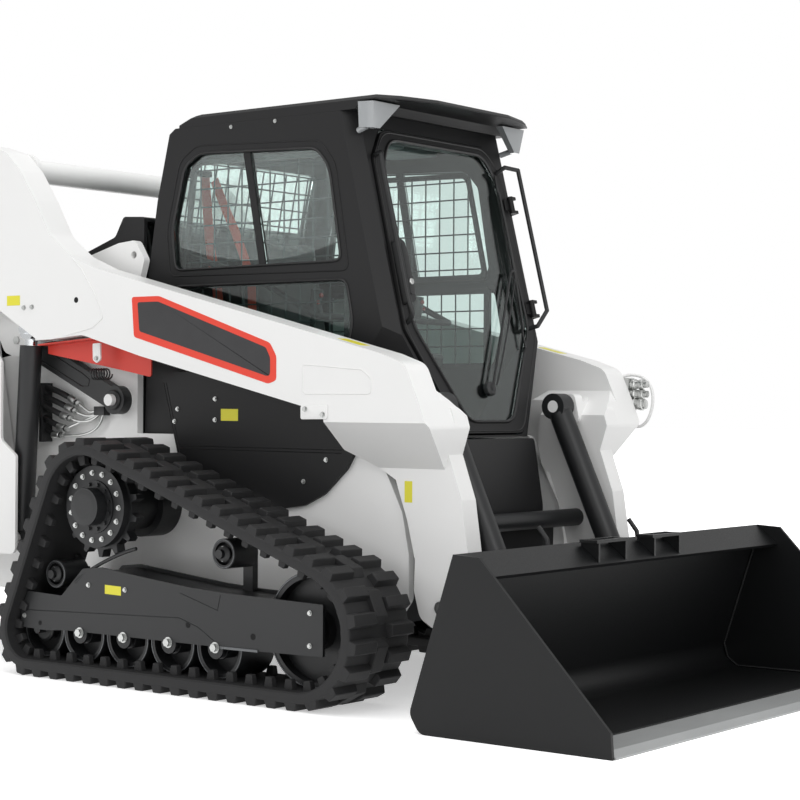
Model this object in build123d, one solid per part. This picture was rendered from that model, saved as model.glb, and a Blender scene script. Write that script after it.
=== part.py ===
from build123d import *
import math
import os

# Compact track loader, built piece by piece. Millimetres.
# +X forward to the bucket, +Y to the machine's left, +Z up.
# Origin on the ground, under the middle of the whole machine.

# ---------------------------------------------------------------- driving sizes
MACHINE_REAR_X = -1800.0      # rear face of the tailgate
BUCKET_TIP_X = 1800.0         # front of the cutting edge
BUCKET_WIDTH = 1981.0         # 78 inch bucket
TRACK_WIDTH = 320.0
TRACK_OUTER_Y = 904.0
BELT = 38.0                   # rubber belt, without its shoes
SHOE = 24.0                   # height of a shoe over the belt
SHOE_PITCH = 86.0
CAB_HALF_WIDTH = 468.0
CAB_CORNER = 45.0             # bevel of the cab's upright front corners
CAB_WALL = 34.0
FRAME_HALF_WIDTH = 500.0      # outer face of the main frame's side plates
FRAME_PLATE = 30.0
ARM_INNER_Y = 560.0
ARM_OUTER_Y = 680.0
LEG_INNER_Y = 436.0
LEG_OUTER_Y = 516.0
GAP = 6.0                     # running clearance between moving pieces
PIN_GAP = 0.5                 # clearance round a pin
SEAT = 0.3                    # clearance of a resting piece from its seat

# Wheels inside the track: x, z of the axle and the radius of the belt's inner face
SPROCKET = (-470.0, 630.0, 187.0)
FRONT_IDLER = (535.0, 258.0, 195.0)
REAR_IDLER = (-755.0, 168.0, 105.0)
ROLLER_X = (-522.0, -301.0, -80.0, 141.0)
ROLLER_Z = 168.0
ROLLER_R = 104.0
CARRIERS = ((-700.0, 372.0), (135.0, 490.0))   # x, z of the small top rollers
CARRIER_R = 52.0

# Lift linkage, x and z of each pivot with the arms down
REAR_LINK_FOOT = (-1300.0, 700.0)
REAR_LINK_TOP = (-1450.0, 1450.0)
CONTROL_FOOT = (-660.0, 1015.0)
CONTROL_TOP = (-1180.0, 1248.0)
LIFT_FOOT = (-1090.0, 480.0)
LIFT_EYE = (-1040.0, 1290.0)
BUCKET_HINGE = (850.0, 330.0)
TILT_HEAD = (735.0, 1000.0)
TILT_EYE = (1011.0, 395.0)
LINK_INNER_Y = 508.0
LINK_OUTER_Y = 552.0
LIFT_Y = 620.0                # centre plane of the lift cylinders
LIFT_BARREL_R = 43.0
LIFT_ROD_R = 24.0
TILT_Y = 368.0
TILT_BARREL_R = 43.0
TILT_ROD_R = 22.0
CROSS_TUBE = (-1140.0, 1913.0, 46.0)   # x, z and radius of the tube behind the cab
PIN_R = 22.0

CAB_BASE_Z = 890.0            # underside of the cab, on top of the main frame
FLOOR_Z = 600.0               # foot well
DECK_Z = 900.0                # under the seat

# Cab front plane: leans back by this much for each unit of height
DOOR_LEAN = 0.252
DOOR_FOOT_X = 678.0           # x of the door's outer face at DOOR_FOOT_Z
DOOR_FOOT_Z = 1000.0


# ---------------------------------------------------------------- helpers
def side_plane(y):
    """Sketch plane whose axes are X and Z, at y, with its normal towards -Y."""
    return Plane(origin=(0, y, 0), x_dir=(1, 0, 0), z_dir=(0, -1, 0))


def outline(rows):
    """Closed face from rows of x, z or x, z, corner radius."""
    points = [Vector(row[0], row[1]) for row in rows]
    radii = [row[2] if len(row) > 2 else 0.0 for row in rows]
    count = len(points)
    ends = []
    for i in range(count):
        corner, before, after = points[i], points[i - 1], points[(i + 1) % count]
        if radii[i] <= 0:
            ends.append((corner, None, corner))
            continue
        to_before = (before - corner).normalized()
        to_after = (after - corner).normalized()
        half = to_before.get_angle(to_after) * math.pi / 360
        reach = radii[i] / math.tan(half)
        centre = corner + (to_before + to_after).normalized() * (radii[i] / math.sin(half))
        middle = centre + (corner - centre).normalized() * radii[i]
        ends.append((corner + to_before * reach, middle, corner + to_after * reach))
    edges = []
    for i in range(count):
        start, middle, end = ends[i]
        if middle is not None:
            edges.append(ThreePointArc(start, middle, end))
        following = ends[(i + 1) % count][0]
        if (following - end).length > 1e-6:
            edges.append(Line(end, following))
    return make_face(Wire(edges))


def slab(rows, y_low, y_high):
    """Plate with the given side outline between two y values."""
    face = rows if isinstance(rows, (Face, Sketch)) else outline(rows)
    return extrude(side_plane(y_high) * face, amount=y_high - y_low)


def across(x, z, radius, y_low, y_high):
    """Round bar along Y."""
    return Plane(origin=(x, y_low, z), z_dir=(0, 1, 0)) * Cylinder(
        radius, y_high - y_low, align=(Align.CENTER, Align.CENTER, Align.MIN)
    )


def bar(start, end, radius):
    """Round bar between two points."""
    a, b = Vector(*start), Vector(*end)
    return Plane(origin=a, z_dir=(b - a).normalized()) * Cylinder(
        radius, (b - a).length, align=(Align.CENTER, Align.CENTER, Align.MIN)
    )


def block(x_low, x_high, y_low, y_high, z_low, z_high):
    return Pos(x_low, y_low, z_low) * Box(
        x_high - x_low, y_high - y_low, z_high - z_low, align=(Align.MIN, Align.MIN, Align.MIN)
    )


def both(piece):
    """The piece and its twin on the other side."""
    return [piece, mirror(piece, about=Plane.XZ)]


def save(name, pieces):
    solids = []
    for piece in pieces if isinstance(pieces, (list, tuple)) else [pieces]:
        solids += piece.solids()
    export_step(solids[0] if len(solids) == 1 else Compound(children=solids), f"parts/{name}.step")
    print(name, len(solids), round(sum(s.volume for s in solids) / 1e6, 2))


def towards(start, end, distance):
    """Point on the line from start to end, at a distance from start, in x and z."""
    length = math.dist(start, end)
    return tuple(a + (b - a) * distance / length for a, b in zip(start, end))


def link(foot, top, half_width, foot_r, top_r, y_low, y_high):
    """Flat bar with a round eye at each end."""
    dx, dz = top[0] - foot[0], top[1] - foot[1]
    length = math.hypot(dx, dz)
    nx, nz = -dz / length * half_width, dx / length * half_width
    shank = slab(
        [(foot[0] + nx, foot[1] + nz), (top[0] + nx, top[1] + nz),
         (top[0] - nx, top[1] - nz), (foot[0] - nx, foot[1] - nz)],
        y_low, y_high,
    )
    return shank + across(*foot, foot_r, y_low, y_high) + across(*top, top_r, y_low, y_high)


# ---------------------------------------------------------------- undercarriage
def belt_run(offset):
    """Straight runs and wraps of the belt at a distance outside its inner face: rows of
    start point, end point for each run, clockwise seen from the machine's right."""
    wheels = [SPROCKET, FRONT_IDLER, REAR_IDLER]
    runs = []
    for i, (x0, z0, r0) in enumerate(wheels):
        x1, z1, r1 = wheels[(i + 1) % 3]
        r0, r1 = r0 + offset, r1 + offset
        along = math.atan2(z1 - z0, x1 - x0)
        turn = math.acos((r0 - r1) / math.hypot(x1 - x0, z1 - z0))
        normal = along + turn
        nx, nz = math.cos(normal), math.sin(normal)
        runs.append(((x0 + r0 * nx, z0 + r0 * nz), (x1 + r1 * nx, z1 + r1 * nz)))
    return runs


def belt_face(offset):
    wheels = [SPROCKET, FRONT_IDLER, REAR_IDLER]
    runs = belt_run(offset)
    edges = []
    for i, (start, end) in enumerate(runs):
        edges.append(Line(start, end))
        x, z, r = wheels[(i + 1) % 3]
        following = runs[(i + 1) % 3][0]
        a0 = math.atan2(end[1] - z, end[0] - x)
        a1 = math.atan2(following[1] - z, following[0] - x)
        if a1 > a0:
            a1 -= 2 * math.pi
        middle = (a0 + a1) / 2
        r += offset
        edges.append(ThreePointArc(end, (x + r * math.cos(middle), z + r * math.sin(middle)), following))
    return make_face(Wire(edges))


def belt_stations(offset, pitch):
    """Evenly spaced points along the belt: x, z, direction of travel."""
    wheels = [SPROCKET, FRONT_IDLER, REAR_IDLER]
    runs = belt_run(offset)
    pieces = []
    for i, (start, end) in enumerate(runs):
        pieces.append(("run", start, end, math.dist(start, end)))
        x, z, r = wheels[(i + 1) % 3]
        following = runs[(i + 1) % 3][0]
        a0 = math.atan2(end[1] - z, end[0] - x)
        a1 = math.atan2(following[1] - z, following[0] - x)
        if a1 > a0:
            a1 -= 2 * math.pi
        pieces.append(("wrap", (x, z, r + offset), (a0, a1), (a0 - a1) * (r + offset)))
    total = sum(piece[3] for piece in pieces)
    count = round(total / pitch)
    stations = []
    for n in range(count):
        s = n * total / count
        for kind, first, second, length in pieces:
            if s < length:
                break
            s -= length
        if kind == "run":
            t = s / length
            x = first[0] + (second[0] - first[0]) * t
            z = first[1] + (second[1] - first[1]) * t
            heading = math.atan2(second[1] - first[1], second[0] - first[0])
        else:
            angle = second[0] - s / first[2]
            x = first[0] + first[2] * math.cos(angle)
            z = first[1] + first[2] * math.sin(angle)
            heading = angle - math.pi / 2
        stations.append((x, z, heading))
    return stations


def track(side):
    """Rubber belt with its shoes, one fixed loop."""
    foot, crown, root = 27.0, 19.0, 5.0     # half lengths of a shoe, and its sink into the belt
    ring = belt_face(BELT)
    for x, z, heading in belt_stations(BELT, SHOE_PITCH):
        tx, tz = math.cos(heading), math.sin(heading)
        nx, nz = -tz, tx
        rows = [(-foot, -root), (-foot, 0), (-crown, SHOE), (crown, SHOE), (foot, 0), (foot, -root)]
        shoe = [(x + tx * a + nx * b, z + tz * a + nz * b) for a, b in rows]
        ring += outline(shoe)
    ring -= belt_face(0)
    low = TRACK_OUTER_Y - TRACK_WIDTH
    piece = slab(ring, low, TRACK_OUTER_Y)
    return piece if side > 0 else mirror(piece, about=Plane.XZ)


TRACK_MID_Y = TRACK_OUTER_Y - TRACK_WIDTH / 2


def sprocket():
    """Toothed ring on its hub."""
    x, z, r = SPROCKET
    teeth = 14
    tip, root = r - 3.0, r - 30.0
    disc = Circle(root)
    for n in range(teeth):
        tooth = outline([(-17, root - 8), (-8, tip), (8, tip), (17, root - 8)])
        disc += Rot(0, 0, n * 360 / teeth) * tooth
    disc -= Circle(96)
    ring = slab(Pos(x, z) * disc, 760, 800)
    flange = across(x, z, 148, 800, 830) - across(x, z, 96, 799, 831)
    hub = across(x, z, 95.5, 700, 835) + across(x, z, 68, 834, 884) - across(x, z, 38, 850, 885)
    return ring + flange, hub


def final_drive():
    """Drive motor housing between the main frame and the sprocket hub."""
    x, z, _ = SPROCKET
    return across(x, z, 120, FRAME_HALF_WIDTH, 600) + across(x, z, 92, 599, 700)


def wheel(x, z, radius, half_width, rim, web):
    """Roller or idler: rims with a dished web on both faces."""
    y0, y1 = TRACK_MID_Y - half_width, TRACK_MID_Y + half_width
    body = across(x, z, radius, y0, y1)
    dish = (half_width - web / 2)
    body -= across(x, z, radius - rim, y0 - 1, y0 + dish)
    body -= across(x, z, radius - rim, y1 - dish, y1 + 1)
    body += across(x, z, radius * 0.35, y0 + 4, y1 - 4)
    return body


FRAME_PLATE_Y = (838.0, 850.0)     # outer plate of the track frame
ROLLER_HALF = 84.0


def track_frame():
    """Welded beam with a sloping lid that carries the rollers; its outer plate is scalloped."""
    plate = outline([
        (-836, 172, 6), (-836, 232, 6), (-802, 307, 6), (-620, 300, 20), (-510, 405, 20), (-420, 414, 10),
        (0, 372), (165, 362), (615, 351, 4), (615, 180, 4), (345, 176), (-600, 176), (-700, 168),
    ])
    for x in ROLLER_X:
        plate += Pos(x, ROLLER_Z) * Circle(34)
    outer = slab(plate, *FRAME_PLATE_Y)
    inner = slab(plate, 640, 652)
    # the box between the plates stands over the rollers
    roof_rows = [
        (-798, 292), (-600, 290), (-500, 392), (-420, 402), (0, 360), (165, 352), (335, 344),
        (335, 300), (-800, 280),
    ]
    roof = slab(roof_rows, 651, 839)
    arm = block(300, 470, 651, 678, 205, 330) + block(300, 470, 812, 839, 205, 330)
    frame = outer + inner + roof + arm
    for x in ROLLER_X:
        frame += across(x, ROLLER_Z, 14, 645, 845)
    x, z, _ = FRONT_IDLER
    frame += across(x, z, 26, 645, 845)
    x, z, _ = REAR_IDLER
    frame += across(x, z, 16, 645, 845)
    for x, z in CARRIERS:
        frame += block(x - 22, x + 22, 651, 678, 290, z + 20) + across(x, z, 16, 652, 830)
    return frame


def bored(piece, x, z, radius):
    return piece - across(x, z, radius, 0, 1000)


# ---------------------------------------------------------------- main frame
HOOD_HINGE = (-640.0, 1660.0)         # x, z of the hood's pins
HOOD_LUG_Y = (414.0, 426.0)
TAILGATE_HINGE = (-1752.0, 510.0)     # x, y of the upright hinge pins
TAILGATE_HINGE_Z = (560.0, 1000.0)
CHEEK_Y = (688.0, 700.0)              # rear quarter's outer plate


def frame_side():
    """Side plate of the chassis with its high rear tower, link bosses, pins and axle beams."""
    inner = FRAME_HALF_WIDTH - FRAME_PLATE
    rows = [
        (-1640, 380, 30), (-1640, 1130, 40), (-1240, 1200, 30), (-960, 1240, 40), (-940, 1545, 20),
        (-690, 1612, 10), (-600, 1620, 25), (-552, 1545, 25), (-585, 1440, 10), (-585, CAB_BASE_Z - SEAT),
        (540, CAB_BASE_Z - SEAT, 30), (610, 760, 30), (672, 640, 30), (700, 500, 30), (700, 345, 30),
        (640, 262, 30), (-1500, 262, 60),
    ]
    plate = slab(rows, inner, FRAME_HALF_WIDTH)
    plate -= across(-608, 1564, 14, 400, 600)
    plate += across(*REAR_LINK_FOOT, 60, inner, LINK_INNER_Y - 1)
    plate += across(*CONTROL_FOOT, 52, inner, LINK_INNER_Y - 1)
    plate += across(*LIFT_FOOT, 55, inner, LIFT_Y - LIFT_BARREL_R - GAP)
    for pivot, end in ((REAR_LINK_FOOT, LINK_OUTER_Y + 10), (CONTROL_FOOT, LINK_OUTER_Y + 30),
                       (LIFT_FOOT, CHEEK_Y[0] - SEAT)):
        plate += across(*pivot, PIN_R, inner, end)
    for x in (-330.0, 270.0):
        plate += block(x - 60, x + 60, FRAME_HALF_WIDTH - 5, 640, 296, 350)
    return plate


def frame_tub():
    """Floor and cross walls between the side plates, with the hood's hinge posts."""
    inner = FRAME_HALF_WIDTH - FRAME_PLATE
    tub = block(-1560, 640, -inner, inner, 262, 274)
    tub += block(640, 652, -inner, inner, 262, FLOOR_Z - 20 - SEAT)
    tub += block(-1572, -1560, -inner, inner, 262, 560)
    return tub


def cab_deck():
    """Cross plate under the cab and the bulkhead behind it, with the posts of the hood's pins."""
    inner = FRAME_HALF_WIDTH - FRAME_PLATE
    deck = block(-600, 230, -inner, inner, CAB_BASE_Z - SEAT - 12, CAB_BASE_Z - SEAT)
    deck += block(-600, -588, -inner, inner, 700, 1440)
    x, z = HOOD_HINGE
    post = slab([(-599, 1300), (-589, 1300), (-589, 1440, 20), (x + 16, z, 0), (x - 16, z, 0),
                 (x - 16, 1500, 60)],
                400, 412)
    post += across(x, z, 16, 400, 412) + across(x, z, 8, 400, HOOD_LUG_Y[1] + 4)
    return deck + post + mirror(post, about=Plane.XZ)


def rear_cheek():
    """Outer plate of the rear quarter, outboard of the lift cylinder, on a return to the side plate."""
    rows = [
        (-1700, 420, 60), (-1700, 1235, 30), (-1190, 1235, 20), (-1125, 1160, 10), (-1125, 860, 30),
        (-1040, 800, 15), (-1040, 420, 30),
    ]
    cheek = slab(rows, *CHEEK_Y)
    cheek += block(-1700, -1688, FRAME_HALF_WIDTH - 8, CHEEK_Y[0] + 1, 420, 1235)
    cheek += block(-1690, -1640 - SEAT, FRAME_HALF_WIDTH - 28, FRAME_HALF_WIDTH - 2, 420, 1120)
    # hinge lugs of the tailgate, above and below each of its knuckles
    lugs = None
    x, y = TAILGATE_HINGE
    for z in TAILGATE_HINGE_Z:
        piece = Pos(x, y, z) * Cylinder(7, 122)
        for low in (z - 61, z + 41):
            piece += block(x, -1699, y - 11, y + 11, low, low + 20) + Pos(x, y, low + 10) * Cylinder(11, 20)
        lugs = piece if lugs is None else lugs + piece
    return cheek + lugs, mirror(cheek, about=Plane.XZ)


def engine():
    return block(-1420, -720, -260, 260, 274 + SEAT, 1010)


# ---------------------------------------------------------------- lift arms
def arm_side():
    """Upper arm: deep plate-sided beam that rises at the rear to the link's pivot."""
    rows = [
        (-1545, 1450, 60), (-1500, 1800, 80), (-1400, 1990, 90), (-1250, 2012, 80), (-1130, 1975, 60),
        (-1046, 1898, 80), (-960, 1778, 0), (-876, 1640, 60), (-766, 1559, 120), (-631, 1506, 60),
        (713, 1175, 60), (815, 1140, 60), (870, 1020, 30), (905, 930, 20), (840, 790, 10), (700, 800, 10),
        (600, 855, 30), (470, 976, 60), (369, 1000, 0), (-395, 1176, 0), (-700, 1258, 80),
        (-870, 1244, 60), (-1010, 1240, 20), (-1180, 1180, 60), (-1250, 1200, 40), (-1330, 1340, 60),
        (-1470, 1350, 60),
    ]
    return outline(rows)


def leg_rows():
    return [
        (700, 980, 20), (880, 1010, 30), (905, 930, 20), (876, 840, 0), (930, 690), (955, 520),
        (945, 300, 60), (850, 240, 60), (760, 290, 50), (735, 380, 40), (738, 485), (705, 617),
        (657, 747, 40), (610, 850, 20),
    ]


def yz_prism(points, x_low, x_high):
    """Prism along X with corners given as y, z."""
    face = Plane(origin=(x_low, 0, 0), x_dir=(0, 1, 0), z_dir=(1, 0, 0))
    face *= make_face(Polyline(*points, close=True))
    return extrude(face, amount=x_high - x_low)


def lift_arm():
    beam = slab(arm_side(), ARM_INNER_Y, ARM_OUTER_Y)
    # channel for the lift cylinder, open below and behind, between two side plates
    side = 12.0
    beam -= slab([(-970, 1100), (-970, 1330, 30), (-1020, 1372, 30), (-1330, 1350, 0),
                  (-1600, 1350), (-1600, 1100)],
                 ARM_INNER_Y + side, ARM_OUTER_Y - side)
    beam -= slab([(-930, 1100), (-945, 1243, 20), (-1250, 1410, 40), (-1600, 1410), (-1600, 1100)],
                 ARM_OUTER_Y - side - 1, ARM_OUTER_Y + 1)
    # knee: inclined box that carries the load inwards to the leg
    leg = slab(leg_rows(), LEG_INNER_Y, LEG_OUTER_Y)
    knee = slab([(482, 850, 10), (470, 976, 40), (640, 1120, 40), (800, 1120, 60), (870, 1020, 30),
                 (905, 930, 20),
                 (860, 790, 10), (657, 750, 10)], LEG_INNER_Y, ARM_OUTER_Y)
    cab_path = slab([(300, 650), (655, 700), (618, 790), (604, 850), (606, 930), (640, 1100),
                     (640, 1300), (300, 1300)],
                    LEG_INNER_Y - 5, FRAME_HALF_WIDTH + GAP + 5)
    outer_cut = yz_prism([(LEG_OUTER_Y, 600), (900, 600), (900, 1010), (ARM_OUTER_Y, 945),
                          (LEG_OUTER_Y, 790)],
                         300, 1000)
    inner_cut = yz_prism([(LEG_INNER_Y - 5, 965), (ARM_INNER_Y, 1060), (ARM_INNER_Y, 1300),
                          (LEG_INNER_Y - 5, 1300)],
                         300, 1000)
    knee = knee - outer_cut - inner_cut - cab_path
    beam -= outer_cut
    leg -= inner_cut
    arm = beam + knee + leg
    # pin of the control link, and the boss that takes the cross tube
    arm += across(*CONTROL_TOP, PIN_R, LINK_INNER_Y, ARM_INNER_Y + 5)
    x, z, radius = CROSS_TUBE
    arm += across(x, z, radius + 18, ARM_INNER_Y - 20, ARM_INNER_Y + 1)
    arm -= across(*BUCKET_HINGE, PIN_R + PIN_GAP, LEG_INNER_Y - 1, LEG_OUTER_Y + 1)
    # lug and pin for the tilt cylinder's head, inboard of the leg
    lug = slab([(705, 1046, 20), (775, 1046, 20), (800, 940, 20), (705, 940, 20)],
               TILT_Y + TILT_BARREL_R + GAP,
               LEG_INNER_Y + 70)
    lug -= yz_prism([(LEG_INNER_Y + 30, 1010), (LEG_INNER_Y + 80, 1046), (LEG_INNER_Y + 80, 1300),
                     (LEG_INNER_Y + 30, 1300)], 600, 1000)
    pin = across(*TILT_HEAD, PIN_R, TILT_Y - 36, TILT_Y + TILT_BARREL_R + GAP + 1)
    return arm + lug + pin


def arm_cross_tube():
    x, z, radius = CROSS_TUBE
    end = ARM_INNER_Y - 20 - SEAT
    tube = across(x, z, radius, -end, end)
    return tube


def leg_cross_tube():
    end = LEG_INNER_Y - SEAT
    return across(775, 590, 32, -end, end)


def rear_link():
    """Rear link; its upper pin ends short of the arm, where the linkage is opened."""
    piece = link(REAR_LINK_FOOT, REAR_LINK_TOP, 58, 78, 70, LINK_INNER_Y, LINK_OUTER_Y)
    piece -= across(*REAR_LINK_FOOT, PIN_R + PIN_GAP, 400, 700)
    return piece + across(*REAR_LINK_TOP, 34, LINK_OUTER_Y - 1, ARM_INNER_Y - 3)


def control_link():
    piece = link(CONTROL_FOOT, CONTROL_TOP, 42, 54, 50, LINK_INNER_Y, LINK_OUTER_Y)
    for pivot in (CONTROL_FOOT, CONTROL_TOP):
        piece -= across(*pivot, PIN_R + PIN_GAP, 400, 700)
    return piece


def cylinder_pair(foot, eye, y, barrel_r, rod_r, foot_r, eye_r, half, barrel_end, rod_start, pin_reach):
    """Barrel with its foot eye, and rod with its far eye and that eye's pin.
    barrel_end and rod_start are distances from the foot along the cylinder at rest;
    pin_reach is how far the pin stands out of the rod's eye on each side."""

    def at(distance):
        x, z = towards(foot, eye, distance)
        return (x, y, z)

    length = math.dist(foot, eye)
    barrel = bar(at(foot_r * 0.6), at(barrel_end), barrel_r)
    barrel += across(*foot, foot_r, y - half, y + half)
    barrel -= bar(at(foot_r + 14), at(barrel_end + 5), rod_r + PIN_GAP)
    barrel -= across(*foot, PIN_R + PIN_GAP, y - half - 1, y + half + 1)
    rod = bar(at(rod_start), at(length - eye_r * 0.6), rod_r)
    rod += across(*eye, eye_r, y - half, y + half)
    rod += across(*eye, PIN_R, y - half - pin_reach, y + half + pin_reach)
    return barrel, rod


# ---------------------------------------------------------------- coupler and bucket
BUCKET_BACK_FOOT = (1074.0, 60.0)     # x, z of the back sheet's outer face
BUCKET_BACK_TOP = (1236.0, 556.0)
LIP_FRONT = (1324.0, 488.0)            # lower edge of the sloping top lip


def back_x(z, ahead=0.0):
    """x of the bucket's back face at a height, or a distance ahead of it."""
    (x0, z0), (x1, z1) = BUCKET_BACK_FOOT, BUCKET_BACK_TOP
    return x0 + (x1 - x0) * (z - z0) / (z1 - z0) + ahead


def coupler():
    """Quick-attach frame: side towers joined by a tube, with a plate that seats in the bucket's back."""
    face_low, face_high, plate = 75.0, 525.0, 14.0
    tower = [
        (810, 300, 30), (850, 275, 20), (990, 80, 30), (back_x(face_low, -SEAT - 4), face_low, 5),
        (back_x(face_high, -SEAT - 4), face_high, 5), (1150, 530, 20), (960, 470, 40), (905, 385, 40),
        (830, 385, 30),
    ]
    solid = None
    clear = TILT_BARREL_R + GAP - 1
    for y0, y1 in ((TILT_Y + clear, LEG_INNER_Y - GAP), (TILT_Y - clear - 14, TILT_Y - clear)):
        piece = slab(tower, y0, y1)
        solid = piece if solid is None else solid + piece
    solid += slab([(back_x(face_low, -SEAT - plate), face_low), (back_x(face_low, -SEAT), face_low),
                   (back_x(face_high, -SEAT), face_high), (back_x(face_high, -SEAT - plate), face_high)],
                  TILT_Y - clear - 14, LEG_OUTER_Y)
    solid += across(1030, 170, 38, 0, TILT_Y - clear - 10)
    solid += across(*BUCKET_HINGE, PIN_R, TILT_Y + clear + 2, LEG_OUTER_Y + 8)
    return solid + mirror(solid, about=Plane.XZ)


def bucket():
    """Rolled floor and back between two end plates."""
    half = BUCKET_WIDTH / 2
    wall, end_wall = 12.0, 12.0
    outer = [
        LIP_FRONT, BUCKET_BACK_TOP, (*BUCKET_BACK_FOOT, 60), (1114, 0, 40), (1640, 0), (1640, wall),
        (1142, wall, 80), (1095, 75, 65), (back_x(532, wall + 1), 532), (LIP_FRONT[0] - 8, LIP_FRONT[1] - 10),
    ]
    shell = slab(outer, -half + end_wall - 1, half - end_wall + 1)
    end_rows = [BUCKET_BACK_TOP, (1331, 551), (1790, 76), (1796, 0), (1114, 0, 40), (*BUCKET_BACK_FOOT, 40)]
    for low in (-half, half - end_wall):
        shell += slab(end_rows, low, low + end_wall)
    return shell


def cutting_edge():
    half = BUCKET_WIDTH / 2 - 12.0 - SEAT
    start = 1640 + SEAT
    return slab([(start, 0), (BUCKET_TIP_X, 0), (BUCKET_TIP_X, 6), (BUCKET_TIP_X - 30, 22), (start, 22)],
                -half, half)


# ---------------------------------------------------------------- cab
# x and z up the cab's back edge
CAB_REAR = ((-576.0, CAB_BASE_Z), (-560.0, 1500.0), (-516.0, 1766.0), (-456.0, 2010.0))
CAB_TOP_Z = 2030.0
REAR_SLOPE = 30.0              # run of the slope between the back edge and the roof
ROOF_TOP_Z = 2074.0
SIDE_GLASS = 6.0
DOOR_THICK = 36.0
DOOR_GAP = 6.0


def door_x(z, back=0.0):
    """x of the door's outer face at a height, less a depth."""
    return DOOR_FOOT_X - DOOR_LEAN * (z - DOOR_FOOT_Z) - back


def cab_shell(wall):
    """Outer or inner form of the cab: leaning back, with the lower front corners cut away."""
    front_low, front_high = door_x(CAB_BASE_Z, 8 + wall), door_x(CAB_TOP_Z, 8 + wall)
    (x0, z0), (x1, z1), (x2, z2), (x3, z3) = CAB_REAR
    rows = [
        (x0 + wall, z0 - (1 if wall else 0)), (x1 + wall, z1), (x2 + wall, z2), (x3 + wall, z3 - wall * 0.5),
        (x3 + REAR_SLOPE + wall, CAB_TOP_Z - wall), (front_high, CAB_TOP_Z - wall),
        (front_low, z0 - (1 if wall else 0)),
    ]
    form = slab(rows, -CAB_HALF_WIDTH + wall, CAB_HALF_WIDTH - wall)
    # corner plane through three points on the shell
    a = Vector(door_x(1330), CAB_HALF_WIDTH, 1330)
    b = Vector(door_x(CAB_BASE_Z), 215, CAB_BASE_Z)
    c = Vector(300, CAB_HALF_WIDTH, CAB_BASE_Z)
    normal = (b - a).cross(c - a).normalized()
    if normal.X < 0:
        normal = -normal
    cutter = Plane(origin=a - normal * wall, z_dir=normal) * Box(
        3000, 3000, 600, align=(Align.CENTER, Align.CENTER, Align.MIN)
    )
    # bevel of the upright corners, parallel to the door's lean
    edge = Vector(door_x(1500, 8), CAB_HALF_WIDTH - CAB_CORNER, 1500)
    outward = Vector(1, 1, DOOR_LEAN).normalized()
    bevel = Plane(origin=edge - outward * wall, z_dir=outward) * Box(
        3000, 3000, 600, align=(Align.CENTER, Align.CENTER, Align.MIN)
    )
    return form - cutter - mirror(cutter, about=Plane.XZ) - bevel - mirror(bevel, about=Plane.XZ)


SIDE_OPENINGS = (
    # x, z, corner radius of the upper and the lower side window
    ((-422, 1500, 30), (-439, 1650, 0), (-377, 1885, 40), (-302, 1930, 40), (258, 1908, 50), (318, 1840, 40),
     (375, 1505, 30)),
    ((-427, 1150, 30), (-427, 1440, 30), (398, 1440, 30), (428, 1290, 60), (393, 1150, 40)),
)
WINDOW_BAR_X = ((-77.0, 1936.0), (9.0, 1490.0))      # divider between the rear and the sliding pane


def door_plane():
    """Plane of the door's outer face: its axes run across the machine and up the lean."""
    return Plane(origin=(DOOR_FOOT_X, 0, DOOR_FOOT_Z), x_dir=(0, 1, 0), z_dir=(1, 0, DOOR_LEAN))


def lean(z):
    """Distance up the door plane for a height."""
    return (z - DOOR_FOOT_Z) * math.hypot(1, DOOR_LEAN)


def door_outline(grow):
    """Half-width and height up the door: wide at the elbows, narrow at the feet."""
    rows = ((190, 905, 40), (410, 1265, 60), (398, 1866, 60), (318, 1974, 60))
    right = [(y + grow, lean(z) + (grow if z > 1300 else -grow), r) for y, z, r in rows]
    left = [(-y, s, r) for y, s, r in reversed(right)]
    return outline(right + left)


def door_slab(face, depth_from, depth_to):
    """Solid under a face in the door plane, between two depths behind the door's outer face."""
    placed = door_plane().offset(-depth_to) * face
    return extrude(placed, amount=depth_to - depth_from)


def cab_frame():
    frame = cab_shell(0) - cab_shell(CAB_WALL)
    for rows in SIDE_OPENINGS:
        frame -= slab(list(rows), -1000, 1000)
    frame -= door_slab(door_outline(DOOR_GAP), -20, DOOR_THICK + 60)
    frame -= yz_prism([(-380, 1500), (380, 1500), (380, 1930), (-380, 1930)], -700, -300)
    return frame + cab_hinges()


def cab_roof():
    """Roof panel with a visor ahead of the door, its upper edge chamfered."""
    back, side = CAB_REAR[-1][0] + REAR_SLOPE, CAB_HALF_WIDTH
    rows = [
        (back, side - 20), (back + 20, side), (525, side), (575, 380), (617, 222),
        (617, -222), (575, -380), (525, -side), (back + 20, -side), (back, -side + 20),
    ]
    base = CAB_TOP_Z + SEAT
    panel = Pos(0, 0, base) * extrude(outline(rows), amount=ROOF_TOP_Z - base)
    # the rear runs down to the cab's back edge, and the upper edge is bevelled all round
    panel -= slab([(back, base + 2), (back + 110, ROOF_TOP_Z), (back, ROOF_TOP_Z + 5),
                   (back - 5, ROOF_TOP_Z + 5), (back - 5, base + 2)], -600, 600)
    panel = chamfer(panel.faces().sort_by(Axis.Z)[-1].edges(), 12)
    # the visor's underside rises forwards, clear of the door's top edge
    rise = slab([(432, base - 1), (432, base), (456, base + 27), (620, base + 28), (620, base - 1)],
                -600, 600)
    return panel - rise


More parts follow.
